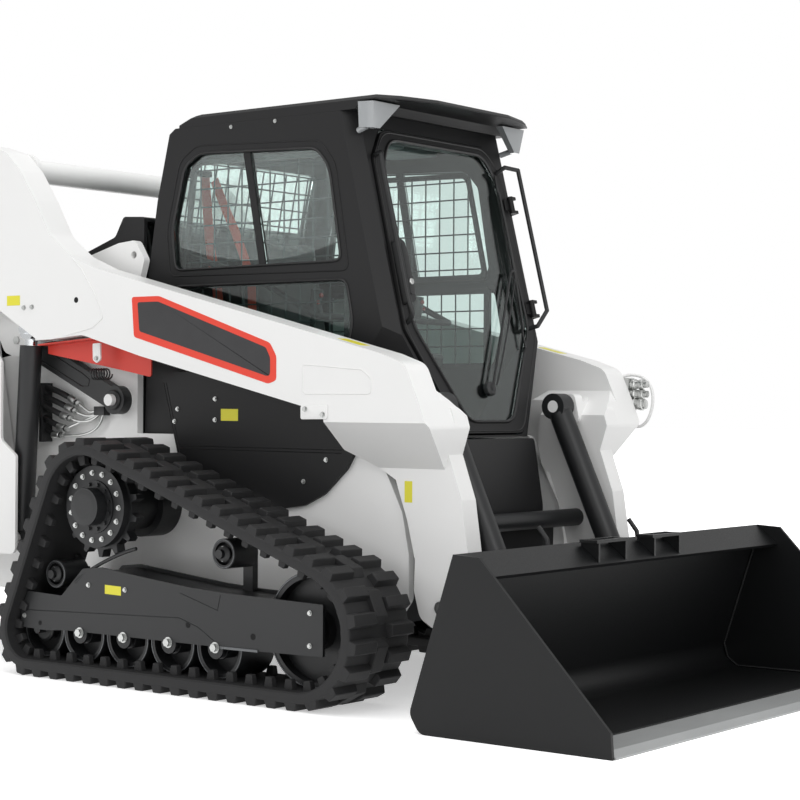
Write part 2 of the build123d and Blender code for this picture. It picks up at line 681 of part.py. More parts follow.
def side_glass():
    """Panes of the side windows, let into the openings from outside."""
    (x0, z0), (x1, z1) = WINDOW_BAR_X
    slope = (x1 - x0) / (z1 - z0)
    bar = 16.0
    y = CAB_HALF_WIDTH - 16
    upper, lower = (slab(list(rows), y, y + SIDE_GLASS) for rows in SIDE_OPENINGS)

    def beside(side):
        shift = side * bar
        low, high = x0 + slope * (1000 - z0) + shift, x0 + slope * (2200 - z0) + shift
        far = side * 2000
        return slab([(low, 1000), (high, 2200), (far, 2200), (far, 1000)], y - 5, y + SIDE_GLASS + 5)

    panes = [upper & beside(-1), upper & beside(1), lower]
    return [piece for pane in panes for piece in both(pane)]


def window_bars():
    """Upright between the rear pane and the sliding pane."""
    (x0, z0), (x1, z1) = WINDOW_BAR_X
    half = 16.0 - SEAT
    slope = (x1 - x0) / (z1 - z0)
    low, high = x0 + slope * (1400 - z0), x0 + slope * (2100 - z0)
    post = slab([(low - half, 1400), (low + half, 1400), (high + half, 2100), (high - half, 2100)],
                CAB_HALF_WIDTH - 26, CAB_HALF_WIDTH - 4)
    post = post & slab(list(SIDE_OPENINGS[0]), 0, 1000)
    return both(post)


def side_guards():
    """Frames of the mesh guards behind the upper side windows."""
    y = CAB_HALF_WIDTH - CAB_WALL - SEAT
    upper = outline([(-422, 1485, 20), (-367, 1910, 40), (280, 1900, 40), (372, 1485, 20)])
    upper -= outline([(-402, 1505, 15), (-350, 1890, 30), (268, 1880, 30), (350, 1505, 15)])
    lower = outline([(-415, 1140, 20), (-415, 1455, 20), (385, 1455, 20), (385, 1140, 20)])
    lower -= outline([(-395, 1160, 15), (-395, 1435, 15), (365, 1435, 15), (365, 1160, 15)])
    return [piece for face in (upper, lower) for piece in both(slab(face, y - 14, y))]


def rear_window():
    frame = yz_prism([(-380 + SEAT, 1500 + SEAT), (380 - SEAT, 1500 + SEAT), (380 - SEAT, 1930 - SEAT),
                      (-380 + SEAT, 1930 - SEAT)], -700, -300)
    (x1, z1), (x2, z2), (x3, z3) = CAB_REAR[1:]
    sheet = slab([(x1 + 14, z1 - 20), (x2 + 14, z2), (x3 + 14, z3), (x3 + 20, z3),
                  (x2 + 20, z2), (x1 + 20, z1 - 20)],
                 -400, 400)
    return sheet & frame


def cab_door():
    """Door leaf: a ring round the glass."""
    ring = door_slab(door_outline(0) - door_glass_face(0), 0, DOOR_THICK)
    return ring


def door_glass_face(shrink):
    rows = ((138, 945, 40), (362, 1285, 70), (350, 1848, 60), (288, 1942, 60))
    right = [(y - shrink, lean(z) - (shrink if z > 1300 else -shrink), r) for y, z, r in rows]
    left = [(-y, s, r) for y, s, r in reversed(right)]
    return outline(right + left)


def door_glass():
    return door_slab(door_glass_face(SEAT), 8, 14)


def on_door(y, z, ahead):
    """Point ahead of the door's outer face."""
    normal = Vector(1, 0, DOOR_LEAN).normalized()
    return Vector(door_x(z), y, z) + normal * ahead


DOOR_HINGE_Y = 402.0
DOOR_HINGE_AHEAD = 12.0


DOOR_HINGE_Z = (1363.0, 1758.0)
HINGE_KNUCKLE = 40.0                  # length of the leaf's knuckle
HINGE_R = 11.0
HINGE_PIN_R = 6.0


def hinge_plane(z):
    """Plane across the hinge line: local x to the machine's left, y into the cab, z up the line."""
    origin = on_door(DOOR_HINGE_Y, z, DOOR_HINGE_AHEAD)
    return Plane(origin=origin, x_dir=(0, 1, 0), z_dir=(-DOOR_LEAN, 0, 1))


def door_hinges():
    """Knuckles on the leaf; the leaf turns about their common pin line."""
    blocks = []
    for z in DOOR_HINGE_Z:
        strap_y = DOOR_HINGE_AHEAD - SEAT - 4
        knuckle = Cylinder(HINGE_R, HINGE_KNUCKLE) + Pos(-19, strap_y, 0) * Box(38, 8, HINGE_KNUCKLE)
        knuckle -= Cylinder(HINGE_PIN_R + PIN_GAP, HINGE_KNUCKLE + 2)
        blocks.append(hinge_plane(z) * knuckle)
    return blocks


def cab_hinges():
    """Fixed knuckles above and below each leaf knuckle, with the pin."""
    solid = None
    for z in DOOR_HINGE_Z:
        piece = Cylinder(HINGE_PIN_R, HINGE_KNUCKLE + 26)
        for side in (-1, 1):
            height = side * (HINGE_KNUCKLE / 2 + 7)
            piece += Pos(0, 0, height) * Cylinder(HINGE_R, 12)
            piece += Pos(8, 0, height) * Box(16, 16, 12)
            piece += Pos(21.5, 18, height) * Box(13, 52, 12)
        placed = hinge_plane(z) * piece
        solid = placed if solid is None else solid + placed
    return solid


def grab_bar():
    """Tube ahead of the left post, bent back to the leaf at both ends."""
    r, y = 8.0, LEG_INNER_Y - GAP - 7.5
    path = [on_door(360, 1880, SEAT), on_door(366, 1892, 40), on_door(y, 1880, 60), on_door(y, 1345, 60),
            on_door(368, 1290, 40), on_door(364, 1290, SEAT)]
    solid = None
    for a, b in zip(path, path[1:]):
        piece = bar(tuple(a), tuple(b), r)
        solid = piece if solid is None else solid + piece
    for corner in path[1:-1]:
        solid += Pos(*corner) * Sphere(r)
    return solid - door_slab(door_outline(30), -SEAT + 0.001, 60)


def door_handle():
    base = door_slab(outline([(-394, lean(1340), 12), (-394, lean(1580), 12), (-358, lean(1560), 12),
                              (-358, lean(1360), 12)]), -34, -SEAT)
    return base


def wiper():
    motor = Cylinder(20, 18, align=(Align.CENTER, Align.CENTER, Align.MIN))
    motor = door_plane() * Pos(20, lean(1060), -8 + SEAT) * motor
    arm = bar(tuple(on_door(20, 1060, 20)), tuple(on_door(300, 1500, 16)), 5)
    post = bar(tuple(on_door(20, 1060, 8)), tuple(on_door(20, 1060, 24)), 9)
    return motor + post + arm


def work_lights():
    """Corner lamps under the roof: a front face and a shorter side face that narrow downwards."""
    top = [(456, 482), (512, 466), (514, 316), (478, 330)]
    foot = [(464, 486), (500, 452), (502, 416), (474, 424)]
    faces = [Pos(0, 0, z) * make_face(Polyline(*rows, close=True)) for rows, z in ((foot, 1962), (top, 2052))]
    lamp = loft(faces)
    stem = bar(tuple(on_door(436, 1962, -12)), (482, 446, 1976), 11)
    return both(lamp + stem - cab_shell(0))


def cab_floor():
    """Foot well, riser and seat deck, one folded sheet."""
    rows = [
        (620, FLOOR_Z), (620, FLOOR_Z + 8), (258, FLOOR_Z + 8), (258, DECK_Z + 8), (-515, DECK_Z + 8),
        (-515, DECK_Z), (250, DECK_Z), (250, FLOOR_Z),
    ]
    return slab(rows, -205, 205) + slab([(-515, DECK_Z), (250, DECK_Z), (250, DECK_Z + 8),
                                         (-515, DECK_Z + 8)],
                                        -CAB_HALF_WIDTH + CAB_WALL + SEAT, CAB_HALF_WIDTH - CAB_WALL - SEAT)


def front_panel():
    """Black nose panel under the door, wider at its foot."""
    x = 712.0
    face = Plane(origin=(x - 12, 0, 0), x_dir=(0, 1, 0), z_dir=(1, 0, 0)) * outline(
        [(245, 884, 20), (305, 640, 30), (305, 470, 30), (-305, 470, 30), (-305, 640, 30), (-245, 884, 20)])
    return extrude(face, amount=12)


def foot_well():
    """Walls of the foot well, between the floor and the nose panel."""
    wall = slab([(258 + SEAT, FLOOR_Z - 20), (699.5, FLOOR_Z - 20), (699.5, 880), (258 + SEAT, 880)],
                205 + SEAT, 213)
    return both(wall)


def side_panel():
    """Black moulded cover on the flank, its lower front corner swept up."""
    rows = [
        (-446, 1120, 10), (-352, 800, 20), (-330, 640, 20), (144, 633), (250, 648, 60), (340, 690, 60),
        (440, 780, 30), (484, 850, 30), (400, 950, 20), (300, 1120, 40),
    ]
    return both(slab(rows, FRAME_HALF_WIDTH + SEAT, FRAME_HALF_WIDTH + 16))


SEAT_BACK_FOOT = (-285.0, 1096.0)     # x, z of the backrest's rear face, low and high
SEAT_BACK_TOP = (-385.0, 1640.0)


def seat_base():
    """Box under the cushion, with the upright plate behind the backrest."""
    (x0, z0), (x1, z1) = SEAT_BACK_FOOT, SEAT_BACK_TOP
    slope = (x1 - x0) / (z1 - z0)

    def behind(z, depth):
        return x0 + slope * (z - z0) - depth

    box = block(behind(960, 22), 130, -190, 190, DECK_Z + 8 + SEAT, 1000)
    upright = slab([(behind(960, SEAT), 960), (behind(1480, SEAT), 1480), (behind(1480, 22), 1480),
                    (behind(960, 22), 960)], -150, 150)
    return box + upright


def seat_cushion():
    body = block(-258, 190, -240, 240, 1000 + SEAT, 1095)
    return fillet(body.edges(), 25)


def seat_back():
    body = slab([SEAT_BACK_FOOT, SEAT_BACK_TOP, (-300, 1655), (-190, 1100)], -225, 225)
    return fillet(body.edges(), 25)


CONSOLE_TOP_Z = 1200.0


def consoles():
    """Armrest consoles either side of the seat."""
    box = slab([(-200, DECK_Z + 8 + SEAT), (-200, CONSOLE_TOP_Z, 20), (230, CONSOLE_TOP_Z, 20),
                (150, DECK_Z + 8 + SEAT)],
               262, 345)
    return both(box)


def joysticks():
    boot = bar((100, 303, CONSOLE_TOP_Z + SEAT), (100, 303, CONSOLE_TOP_Z + 24), 28)
    stick = bar((100, 303, CONSOLE_TOP_Z + 20), (118, 303, 1330), 11)
    grip = bar((116, 303, 1322), (132, 303, 1420), 22)
    return both(boot + stick + grip)


def seat_bar():
    """Lap bar lowered over the operator's knees."""
    r = 12.0
    path = [(-430, 395, 1560), (-100, 395, 1470), (210, 395, 1320), (210, -395, 1320), (-100, -395, 1470),
            (-430, -395, 1560)]
    solid = None
    for a, b in zip(path, path[1:]):
        piece = bar(a, b, r)
        solid = piece if solid is None else solid + piece
    for corner in path[1:-1]:
        solid += Pos(*corner) * Sphere(r)
    end = CAB_HALF_WIDTH - CAB_WALL - SEAT
    return solid + across(-430, 1560, 14, 395, end) + across(-430, 1560, 14, -end, -395)


# ---------------------------------------------------------------- rear covers


def hood():
    """Engine cover: an inverted tray that rises towards the cab, on two lugs inside its front."""
    half = FRAME_HALF_WIDTH - FRAME_PLATE - GAP
    outer = [(-590, 1500), (-590, 1710, 10), (-700, 1716, 20), (-745, 1640, 30), (-960, 1568, 60),
             (-1690, 1250, 40), (-1700, 1150)]
    inner = [(-580, 1490), (-580, 1694), (-692, 1698, 10), (-735, 1622, 30), (-960, 1548, 60),
             (-1680, 1236, 30), (-1710, 1140)]
    tray = slab(outer, -half, half) - slab(inner, -half + 16, half - 16)
    x, z = HOOD_HINGE
    lug = slab([(x - 18, z), (x - 24, 1700), (x + 24, 1700), (x + 18, z)],
               *HOOD_LUG_Y) + across(x, z, 18, *HOOD_LUG_Y)
    lug -= across(x, z, 8 + PIN_GAP, 400, 440)
    return tray + lug + mirror(lug, about=Plane.XZ)


def tailgate():
    half = 482.0
    leaf = slab([(MACHINE_REAR_X, 420, 50), (MACHINE_REAR_X, 1140, 60), (MACHINE_REAR_X + 90, 1140, 10),
                 (MACHINE_REAR_X + 90, 420, 10)], -half, half)
    hollow = block(MACHINE_REAR_X + 30, MACHINE_REAR_X + 91, -half + 30, half - 30, 450, 1110)
    leaf -= hollow
    # air outlet slots
    for i in range(8):
        leaf -= block(MACHINE_REAR_X - 1, MACHINE_REAR_X + 31, -330, 330, 720 + 40 * i, 738 + 40 * i)
    x, y = TAILGATE_HINGE
    for z in TAILGATE_HINGE_Z:
        leaf += block(x - 6, x + 6, half - 5, y, z - 40, z + 40)
        leaf += Pos(x, y, z) * Cylinder(13, 80)
        leaf -= Pos(x, y, z) * Cylinder(7 + PIN_GAP, 82)
    return leaf


def rear_lamps():
    return both(block(-1712, -1700 - SEAT, 560, 640, 1010, 1130))


# ---------------------------------------------------------------- pieces on the arms
def arm_support():
    """Folded channel stowed under the right arm; it props the arms when fitted."""
    top = [(-985, 1228), (-670, 1249.6), (-430, 1185.1)]
    web = slab(top + [(-430, 1100, 10), (-600, 1130, 20), (-985, 1192)], 580, 586)
    flange = slab(top + [(x, z - 6) for x, z in reversed(top)], 580, 640)
    return mirror(web + flange, about=Plane.XZ)


def aux_couplers():
    """Hydraulic quick couplers on a block at the left knee."""
    body = block(790, 850, ARM_OUTER_Y + SEAT, 725, 990, 1110)
    for y, z, r, reach in ((706, 1085, 13, 70), (706, 1048, 13, 70), (706, 1010, 18, 62)):
        body += bar((849, y, z), (849 + reach, y, z), r)
    return body


def bucket_steps():
    """Two tread brackets on the bucket's top lip."""
    (x0, z0), (x1, z1) = BUCKET_BACK_TOP, LIP_FRONT
    fall = (z1 - z0) / (x1 - x0)
    low, high, top = 1250.0, 1318.0, 566.0
    leg = [(low, z0 + fall * (low - x0) + 0.4), (high, z0 + fall * (high - x0) + 0.4), (high, top),
           (low, top)]
    steps = []
    for y in (-300.0, 60.0):
        tread = block(low, high, y, y + 200, top - 10, top)
        tread -= block(low + 16, high - 16, y + 16, y + 184, top - 20, top + 10)
        steps.append(tread + slab(leg, y + 10, y + 20) + slab(leg, y + 180, y + 190))
    return steps


def coupler_levers():
    """Locking levers of the quick-attach frame, pivoted on the inner side of its towers."""
    inner_face = TILT_Y - TILT_BARREL_R - GAP - 13
    y = inner_face - 14
    lever = across(1140, 430, 17, y - 10, inner_face - SEAT)
    lever += bar((1140, y, 430), (1118, y, 560), 8) + bar((1118, y, 560), (1085, y, 600), 8)
    return both(lever + Pos(1118, y, 560) * Sphere(8))


# ---------------------------------------------------------------- write
def main():
    os.makedirs("parts", exist_ok=True)
    save("frame_sides", both(frame_side()))
    save("frame_tub", frame_tub())
    save("cab_deck", cab_deck())
    save("rear_cheeks", rear_cheek())
    save("engine_block", engine())
    save("track_left", track(1))
    save("track_right", track(-1))
    ring, hub = sprocket()
    save("sprockets", both(ring))
    save("drive_hubs", both(hub + final_drive()))
    save("track_frames", both(track_frame()))
    x, z, r = FRONT_IDLER
    save("front_idlers", both(bored(wheel(x, z, r - 0.6, 60, 22, 40), x, z, 26.3)))
    x, z, r = REAR_IDLER
    save("rear_idlers", both(bored(wheel(x, z, r - 0.6, 60, 18, 40), x, z, 16.3)))
    rollers = []
    for x in ROLLER_X:
        rollers += both(bored(wheel(x, ROLLER_Z, ROLLER_R, ROLLER_HALF, 16, 40), x, ROLLER_Z, 14.3))
    save("track_rollers", rollers)
    carriers = []
    for x, z in CARRIERS:
        carriers += both(bored(wheel(x, z, CARRIER_R, 60, 12, 60), x, z, 16.3))
    save("carrier_rollers", carriers)
    right = mirror(lift_arm(), about=Plane.XZ)
    save("lift_arm_left", lift_arm())
    save("lift_arm_right", right)
    save("arm_cross_tube", arm_cross_tube())
    save("leg_cross_tube", leg_cross_tube())
    save("rear_links", both(rear_link()))
    save("control_links", both(control_link()))
    barrel, rod = cylinder_pair(LIFT_FOOT, LIFT_EYE, LIFT_Y, LIFT_BARREL_R, LIFT_ROD_R,
                                50, 44, 28, 745, 160, 18)
    save("lift_cylinder_barrels", both(barrel))
    save("lift_cylinder_rods", both(rod))
    barrel, rod = cylinder_pair(TILT_HEAD, TILT_EYE, TILT_Y, TILT_BARREL_R, TILT_ROD_R,
                                48, 40, 36, 540, 290, 9)
    save("tilt_cylinder_barrels", both(barrel))
    save("tilt_cylinder_rods", both(rod))
    save("quick_coupler", coupler())
    save("coupler_levers", coupler_levers())
    save("bucket", bucket())
    save("cutting_edge", cutting_edge())
    save("bucket_steps", bucket_steps())
    save("cab_frame", cab_frame())
    save("cab_roof", cab_roof())
    save("side_windows", side_glass())
    save("window_bars", window_bars())
    save("side_guards", side_guards())
    save("rear_window", rear_window())
    save("cab_door", cab_door())
    save("door_glass", door_glass())
    save("door_hinges", door_hinges())
    save("door_handles", [grab_bar(), door_handle()])
    save("wiper", wiper())
    save("work_lights", work_lights())
    save("cab_floor", [cab_floor()] + foot_well())
    save("front_panel", front_panel())
    save("side_panels", side_panel())
    save("seat_base", seat_base())
    save("seat_cushion", seat_cushion())
    save("seat_back", seat_back())
    save("consoles", consoles())
    save("joysticks", joysticks())
    save("seat_bar", seat_bar())
    save("hood", hood())
    save("tailgate", tailgate())
    save("rear_lamps", rear_lamps())
    save("arm_support", arm_support())
    save("aux_couplers", aux_couplers())


main()
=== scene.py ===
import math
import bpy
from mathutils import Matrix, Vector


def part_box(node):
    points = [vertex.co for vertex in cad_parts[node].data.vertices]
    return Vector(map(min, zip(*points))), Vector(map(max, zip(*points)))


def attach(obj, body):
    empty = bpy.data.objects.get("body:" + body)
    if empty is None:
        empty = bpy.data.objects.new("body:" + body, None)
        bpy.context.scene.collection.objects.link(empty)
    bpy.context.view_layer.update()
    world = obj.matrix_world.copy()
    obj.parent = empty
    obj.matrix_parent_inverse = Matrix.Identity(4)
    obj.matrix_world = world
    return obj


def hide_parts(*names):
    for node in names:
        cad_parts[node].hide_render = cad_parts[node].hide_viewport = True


bl_info = {
    "name": "Compact track loader finish",
    "version": (1, 0, 0),
    "blender": (4, 5, 0),
    "location": "View3D > Sidebar > Loader",
    "description": "Paint, glass, treads, hoses, bolts and trim of a compact track loader",
    "category": "Object",
}

import bmesh
import bpy
from bpy.props import FloatProperty, FloatVectorProperty, PointerProperty
from mathutils import Matrix, Vector
from mathutils.bvhtree import BVHTree

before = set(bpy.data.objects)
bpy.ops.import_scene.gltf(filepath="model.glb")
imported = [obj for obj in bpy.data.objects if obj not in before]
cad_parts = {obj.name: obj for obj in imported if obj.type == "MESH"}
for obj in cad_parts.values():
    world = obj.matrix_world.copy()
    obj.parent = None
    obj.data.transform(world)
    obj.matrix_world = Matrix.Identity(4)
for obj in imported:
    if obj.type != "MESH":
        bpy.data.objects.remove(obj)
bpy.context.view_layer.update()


# ---------------------------------------------------------------- colour and nodes
def linear(colour):
    """sRGB hex text to linear red, green, blue, alpha."""
    values = [int(colour[i:i + 2], 16) / 255 for i in (1, 3, 5)]
    return (*(v / 12.92 if v <= 0.04045 else ((v + 0.055) / 1.055) ** 2.4 for v in values), 1.0)


# The colours that a user may change, by the name of their property
COLOURS = {
    "panels": "#EDEDEC",
    "cab": "#19191A",
    "chassis": "#1C1D1E",
    "bucket": "#101112",
    "accent": "#DB4538",
    "tracks": "#212122",
    "seat": "#202122",
    "webbing": "#DA5238",
    "labels": "#E3DC3A",
    "glass": "#E4F0ED",
}


def tones(colour, shade):
    """Two linear shades. A colour named in COLOURS is the user's, and its shade keeps its share of it."""
    if colour not in COLOURS:
        return linear(colour), linear(shade)
    picked = getattr(bpy.context.scene.loader_colours, colour)
    shares = [s / c for s, c in zip(linear(shade)[:3], linear(COLOURS[colour])[:3])]
    return (*picked, 1.0), (*(p * share for p, share in zip(picked, shares)), 1.0)


def add(tree, kind, inputs=None, **settings):
    """One node with its settings; an input is a value, or the socket that feeds it."""
    made = tree.nodes.new(kind)
    for name, value in settings.items():
        setattr(made, name, value)
    for key, value in (inputs or {}).items():
        if isinstance(value, bpy.types.NodeSocket):
            tree.links.new(value, made.inputs[key])
        else:
            made.inputs[key].default_value = value
    return made


def per_metre(millimetres):
    """Noise scale for a grain of this size."""
    return 1000.0 / millimetres


def start_material(name, principled):
    """New material: its tree, the object's own coordinates, and the shader on its output."""
    material = bpy.data.materials.new(name)
    material.use_nodes = True
    tree = material.node_tree
    tree.nodes.clear()
    place = add(tree, "ShaderNodeTexCoord").outputs["Object"]
    shader = add(tree, "ShaderNodeBsdfPrincipled", principled)
    add(tree, "ShaderNodeOutputMaterial", {"Surface": shader.outputs["BSDF"]})
    return material, tree, place, shader


def coated(name, colour, shade, roughness, grain_mm, depth_mm, cloud_mm=350.0, spread=0.04,
           **principled):
    """Sprayed or moulded skin: two close shades in broad clouds, a fine grain in gloss and height."""
    colour, shade = tones(colour, shade)
    principled = {key.replace("_", " "): value for key, value in principled.items()}
    material, tree, place, shader = start_material(name, principled)
    cloud = add(tree, "ShaderNodeTexNoise", {"Vector": place, "Scale": per_metre(cloud_mm), "Detail": 3.0})
    grain = add(tree, "ShaderNodeTexNoise", {"Vector": place, "Scale": per_metre(grain_mm), "Detail": 4.0})
    tone = add(tree, "ShaderNodeMix", {0: cloud.outputs["Fac"], 6: colour, 7: shade},
               data_type="RGBA")
    gloss = add(tree, "ShaderNodeMapRange", {"Value": grain.outputs["Fac"], "From Min": 0.3, "From Max": 0.7,
                                             "To Min": roughness - spread, "To Max": roughness + spread})
    bump = add(tree, "ShaderNodeBump", {"Height": grain.outputs["Fac"], "Distance": depth_mm / 1000.0})
    tree.links.new(tone.outputs[2], shader.inputs["Base Color"])
    tree.links.new(gloss.outputs["Result"], shader.inputs["Roughness"])
    tree.links.new(bump.outputs["Normal"], shader.inputs["Normal"])
    return material


# ---------------------------------------------------------------- materials
def white_powder_coat():
    """Polyester powder coat on steel plate: gloss white with a faint orange peel."""
    return coated("powder_coat_white", "panels", "#E9E9E8", 0.34, 3.0, 0.01, Coat_Weight=0.1)


def charcoal_powder_coat():
    """Fine-texture powder coat: a dry, even charcoal with no sharp reflections."""
    return coated("powder_coat_charcoal", "cab", "#161617", 0.5, 1.6, 0.03, Specular_IOR_Level=0.3)


def chassis_enamel():
    """Air-dried chassis enamel on cast and folded steel: satin black, uneven in gloss."""
    return coated("chassis_enamel_black", "chassis", "#17181A", 0.45, 2.5, 0.03, spread=0.07)


def bucket_enamel():
    """Gloss enamel on rolled plate: deep black with a slight wave."""
    return coated("bucket_enamel_black", "bucket", "#0D0E0F", 0.42, 4.0, 0.02, spread=0.06,
                  Specular_IOR_Level=0.3)


def red_enamel():
    """Gloss enamel in a warm signal red."""
    return coated("enamel_signal_red", "accent", "#D23F33", 0.4, 3.0, 0.01)


def moulded_rubber():
    """Carbon-black rubber as it leaves the mould: matt, faintly grey where it has bloomed."""
    return coated("moulded_rubber", "tracks", "#1B1B1C", 0.68, 2.0, 0.08, cloud_mm=120.0, spread=0.08)


def extruded_rubber():
    """Extruded rubber of hoses and window seals: smooth and near black."""
    return coated("extruded_rubber", "#161617", "#111112", 0.5, 1.5, 0.02)


def moulded_plastic():
    """ABS moulded against a sparked tool: black with a fine leathery grain."""
    return coated("moulded_abs_black", "#1B1C1D", "#171819", 0.48, 1.5, 0.05)


def seat_vinyl():
    """Expanded vinyl over foam: black with an embossed grain and a soft sheen."""
    return coated("embossed_vinyl_black", "seat", "#1A1B1C", 0.52, 2.2, 0.15, Sheen_Weight=0.2)


def headliner_felt():
    """Needled felt over board: grey-green, with no gloss at all."""
    return coated("needled_felt_grey", "#4A5857", "#435150", 0.9, 1.2, 0.2, Sheen_Weight=0.3)


def cast_iron():
    """Sand-cast iron under black paint: coarse grain, low gloss."""
    return coated("cast_iron_painted", "#212223", "#1A1B1C", 0.5, 5.0, 0.12)


def zinc_plate():
    """Zinc-plated steel, drawn and bright: the fasteners, couplers and pins."""
    return coated("zinc_plated_steel", "#C9CAC8", "#B4B6B5", 0.32, 1.5, 0.01, Metallic=1.0)


def hard_chrome():
    """Ground and hard-chromed steel: cylinder rods."""
    return coated("hard_chromed_steel", "#D4D6D8", "#CDD0D2", 0.14, 0.8, 0.002, spread=0.03, Metallic=1.0)


def ground_steel():
    """Edge-ground wear steel under a thin grey primer."""
    return coated("ground_wear_steel", "#B2B4B4", "#9A9C9C", 0.45, 1.2, 0.03, spread=0.1, Metallic=0.5)


def worn_rim():
    """Cast steel rubbed bright by the belt: a dull grey line round each wheel."""
    return coated("rubbed_steel_rim", "#7C7E80", "#5E6062", 0.4, 1.5, 0.02, spread=0.1, Metallic=0.7)


def guard_wire():
    """Welded wire under dark green-grey paint."""
    return coated("painted_wire_mesh", "#2C3637", "#263031", 0.5, 1.0, 0.02)


def lamp_lens():
    """Moulded polycarbonate lens over a frosted reflector: pale grey with fine flutes."""
    return coated("polycarbonate_lens", "#9EA1A3", "#8E9193", 0.2, 2.0, 0.05, Coat_Weight=0.6)


def red_lens():
    """Moulded red acrylic of the rear lamps."""
    return coated("acrylic_red_lens", "#A81E16", "#8F1812", 0.12, 3.0, 0.02, Coat_Weight=0.6)


def yellow_vinyl():
    """Printed vinyl plate left plain: flat safety yellow."""
    return coated("cast_vinyl_yellow", "labels", "#DDD534", 0.4, 2.0, 0.004)


def red_vinyl():
    """Cast vinyl film in signal red: smooth, a little glossier than the paint under it."""
    return coated("cast_vinyl_red", "#E5402B", "#E03C28", 0.35, 2.0, 0.003)


def black_vinyl():
    """Cast vinyl film in near black with a slow change of shade."""
    return coated("cast_vinyl_black", "#2B2B2D", "#1D1D1F", 0.4, 2.0, 0.003, cloud_mm=60.0)


def painted_gap_shade():
    """Painted shade for an unlit slit or hole between panels: near black, no gloss."""
    return coated("panel_gap_shadow", "#0C0C0D", "#0A0A0B", 0.9, 3.0, 0.01)


def belt_webbing():
    """Woven polyester webbing: red-orange with ribs every 2 mm across, drawn at 3 mm so that they show; the
    furrows between the ribs are painted darker as painted shade.
    """
    thread, furrow_shade = tones("webbing", "#B9402C")
    material, tree, place, shader = start_material("woven_polyester_red",
                                                   {"Sheen Weight": 0.3, "Roughness": 0.8})
    ribs = add(tree, "ShaderNodeTexWave",
               {"Vector": place, "Scale": per_metre(3.0) / 6.283, "Distortion": 0.4},
               bands_direction="Z")
    # The rib pattern is the weave's own; the darker tone in the low furrows is painted shade.
    tone = add(tree, "ShaderNodeMix", {0: ribs.outputs["Fac"], 6: furrow_shade, 7: thread},
               data_type="RGBA")
    bump = add(tree, "ShaderNodeBump", {"Height": ribs.outputs["Fac"], "Distance": 0.0004})
    tree.links.new(tone.outputs[2], shader.inputs["Base Color"])
    tree.links.new(bump.outputs["Normal"], shader.inputs["Normal"])
    return material


def tinted_glass():
    """Green-tinted safety glass: clear to lamps, with a gloss of its own."""
    tint, _ = tones("glass", COLOURS["glass"])
    material, tree, _, shader = start_material("tinted_safety_glass", {
        "Base Color": tint, "Roughness": 0.0, "IOR": 1.45, "Transmission Weight": 1.0})
    path = add(tree, "ShaderNodeLightPath")
    passed = add(tree, "ShaderNodeMath",
                 {0: path.outputs["Is Shadow Ray"], 1: path.outputs["Is Diffuse Ray"]},
                 operation="MAXIMUM")
    clear = add(tree, "ShaderNodeBsdfTransparent", {"Color": tint})
    mix = add(tree, "ShaderNodeMixShader",
              {0: passed.outputs[0], 1: shader.outputs["BSDF"], 2: clear.outputs[0]})
    output = next(n for n in tree.nodes if n.type == "OUTPUT_MATERIAL")
    tree.links.new(mix.outputs[0], output.inputs["Surface"])
    return material


NODE_FINISH = {
    white_powder_coat: ("frame_sides", "rear_cheeks", "lift_arm_left", "lift_arm_right", "arm_cross_tube",
                        "rear_links"),
    charcoal_powder_coat: ("cab_frame", "cab_roof", "window_bars", "cab_door", "door_hinges", "hood",
                           "tailgate", "front_panel", "side_panels"),
    chassis_enamel: ("frame_tub", "cab_deck", "track_frames", "leg_cross_tube", "lift_cylinder_barrels",
                     "tilt_cylinder_barrels", "quick_coupler", "coupler_levers", "side_guards", "seat_bar",
                     "sprockets", "drive_hubs", "front_idlers", "rear_idlers", "track_rollers",
                     "carrier_rollers"),
    bucket_enamel: ("bucket", "bucket_steps"),
    red_enamel: ("arm_support",),
    moulded_rubber: ("track_left", "track_right"),
    moulded_plastic: ("door_handles", "wiper", "cab_floor", "seat_base", "consoles", "joysticks"),
    seat_vinyl: ("seat_cushion", "seat_back"),
    cast_iron: ("engine_block", "control_links"),
    zinc_plate: ("aux_couplers",),
    hard_chrome: ("lift_cylinder_rods", "tilt_cylinder_rods"),
    ground_steel: ("cutting_edge",),
    lamp_lens: ("work_lights",),
    red_lens: ("rear_lamps",),
    tinted_glass: ("side_windows", "rear_window", "door_glass"),
}
MADE = {}


def finish(build):
    """The one material a maker function gives."""
    if build.__name__ not in MADE:
        MADE[build.__name__] = build()
    return MADE[build.__name__]


# ---------------------------------------------------------------- mesh
def metres(points):
    """Vectors in metres from rows in millimetres."""
    return [Vector(p) / 1000 for p in points]


def piece(name, mesh, build, body, sharp=32.0):
    """Finished object from a mesh in metres: smooth but for its sharp edges, riding on a body."""
    mesh.materials.clear()
    mesh.materials.append(finish(build))
    for polygon in mesh.polygons:
        polygon.use_smooth = True
        polygon.material_index = 0
    mesh.set_sharp_from_angle(angle=math.radians(sharp))
    made = bpy.data.objects.new(name, mesh)
    bpy.context.scene.collection.objects.link(made)
    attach(made, body)
    return made


def from_bmesh(name, bm, build, body, soften=0.0, sharp=32.0):
    """Piece from a bmesh in millimetres, its hard edges eased when asked."""
    bmesh.ops.remove_doubles(bm, verts=bm.verts, dist=0.001)
    bmesh.ops.recalc_face_normals(bm, faces=bm.faces)
    if soften:
        hard = [e for e in bm.edges if len(e.link_faces) == 2 and e.calc_face_angle(0.0) > math.radians(35)]
        bmesh.ops.bevel(bm, geom=hard, offset=soften, offset_type="OFFSET", segments=2, profile=0.5,
                        affect="EDGES", clamp_overlap=True)
    bmesh.ops.scale(bm, vec=(0.001, 0.001, 0.001), verts=bm.verts)
    mesh = bpy.data.meshes.new(name)
    bm.to_mesh(mesh)
    bm.free()
    return piece(name, mesh, build, body, sharp)


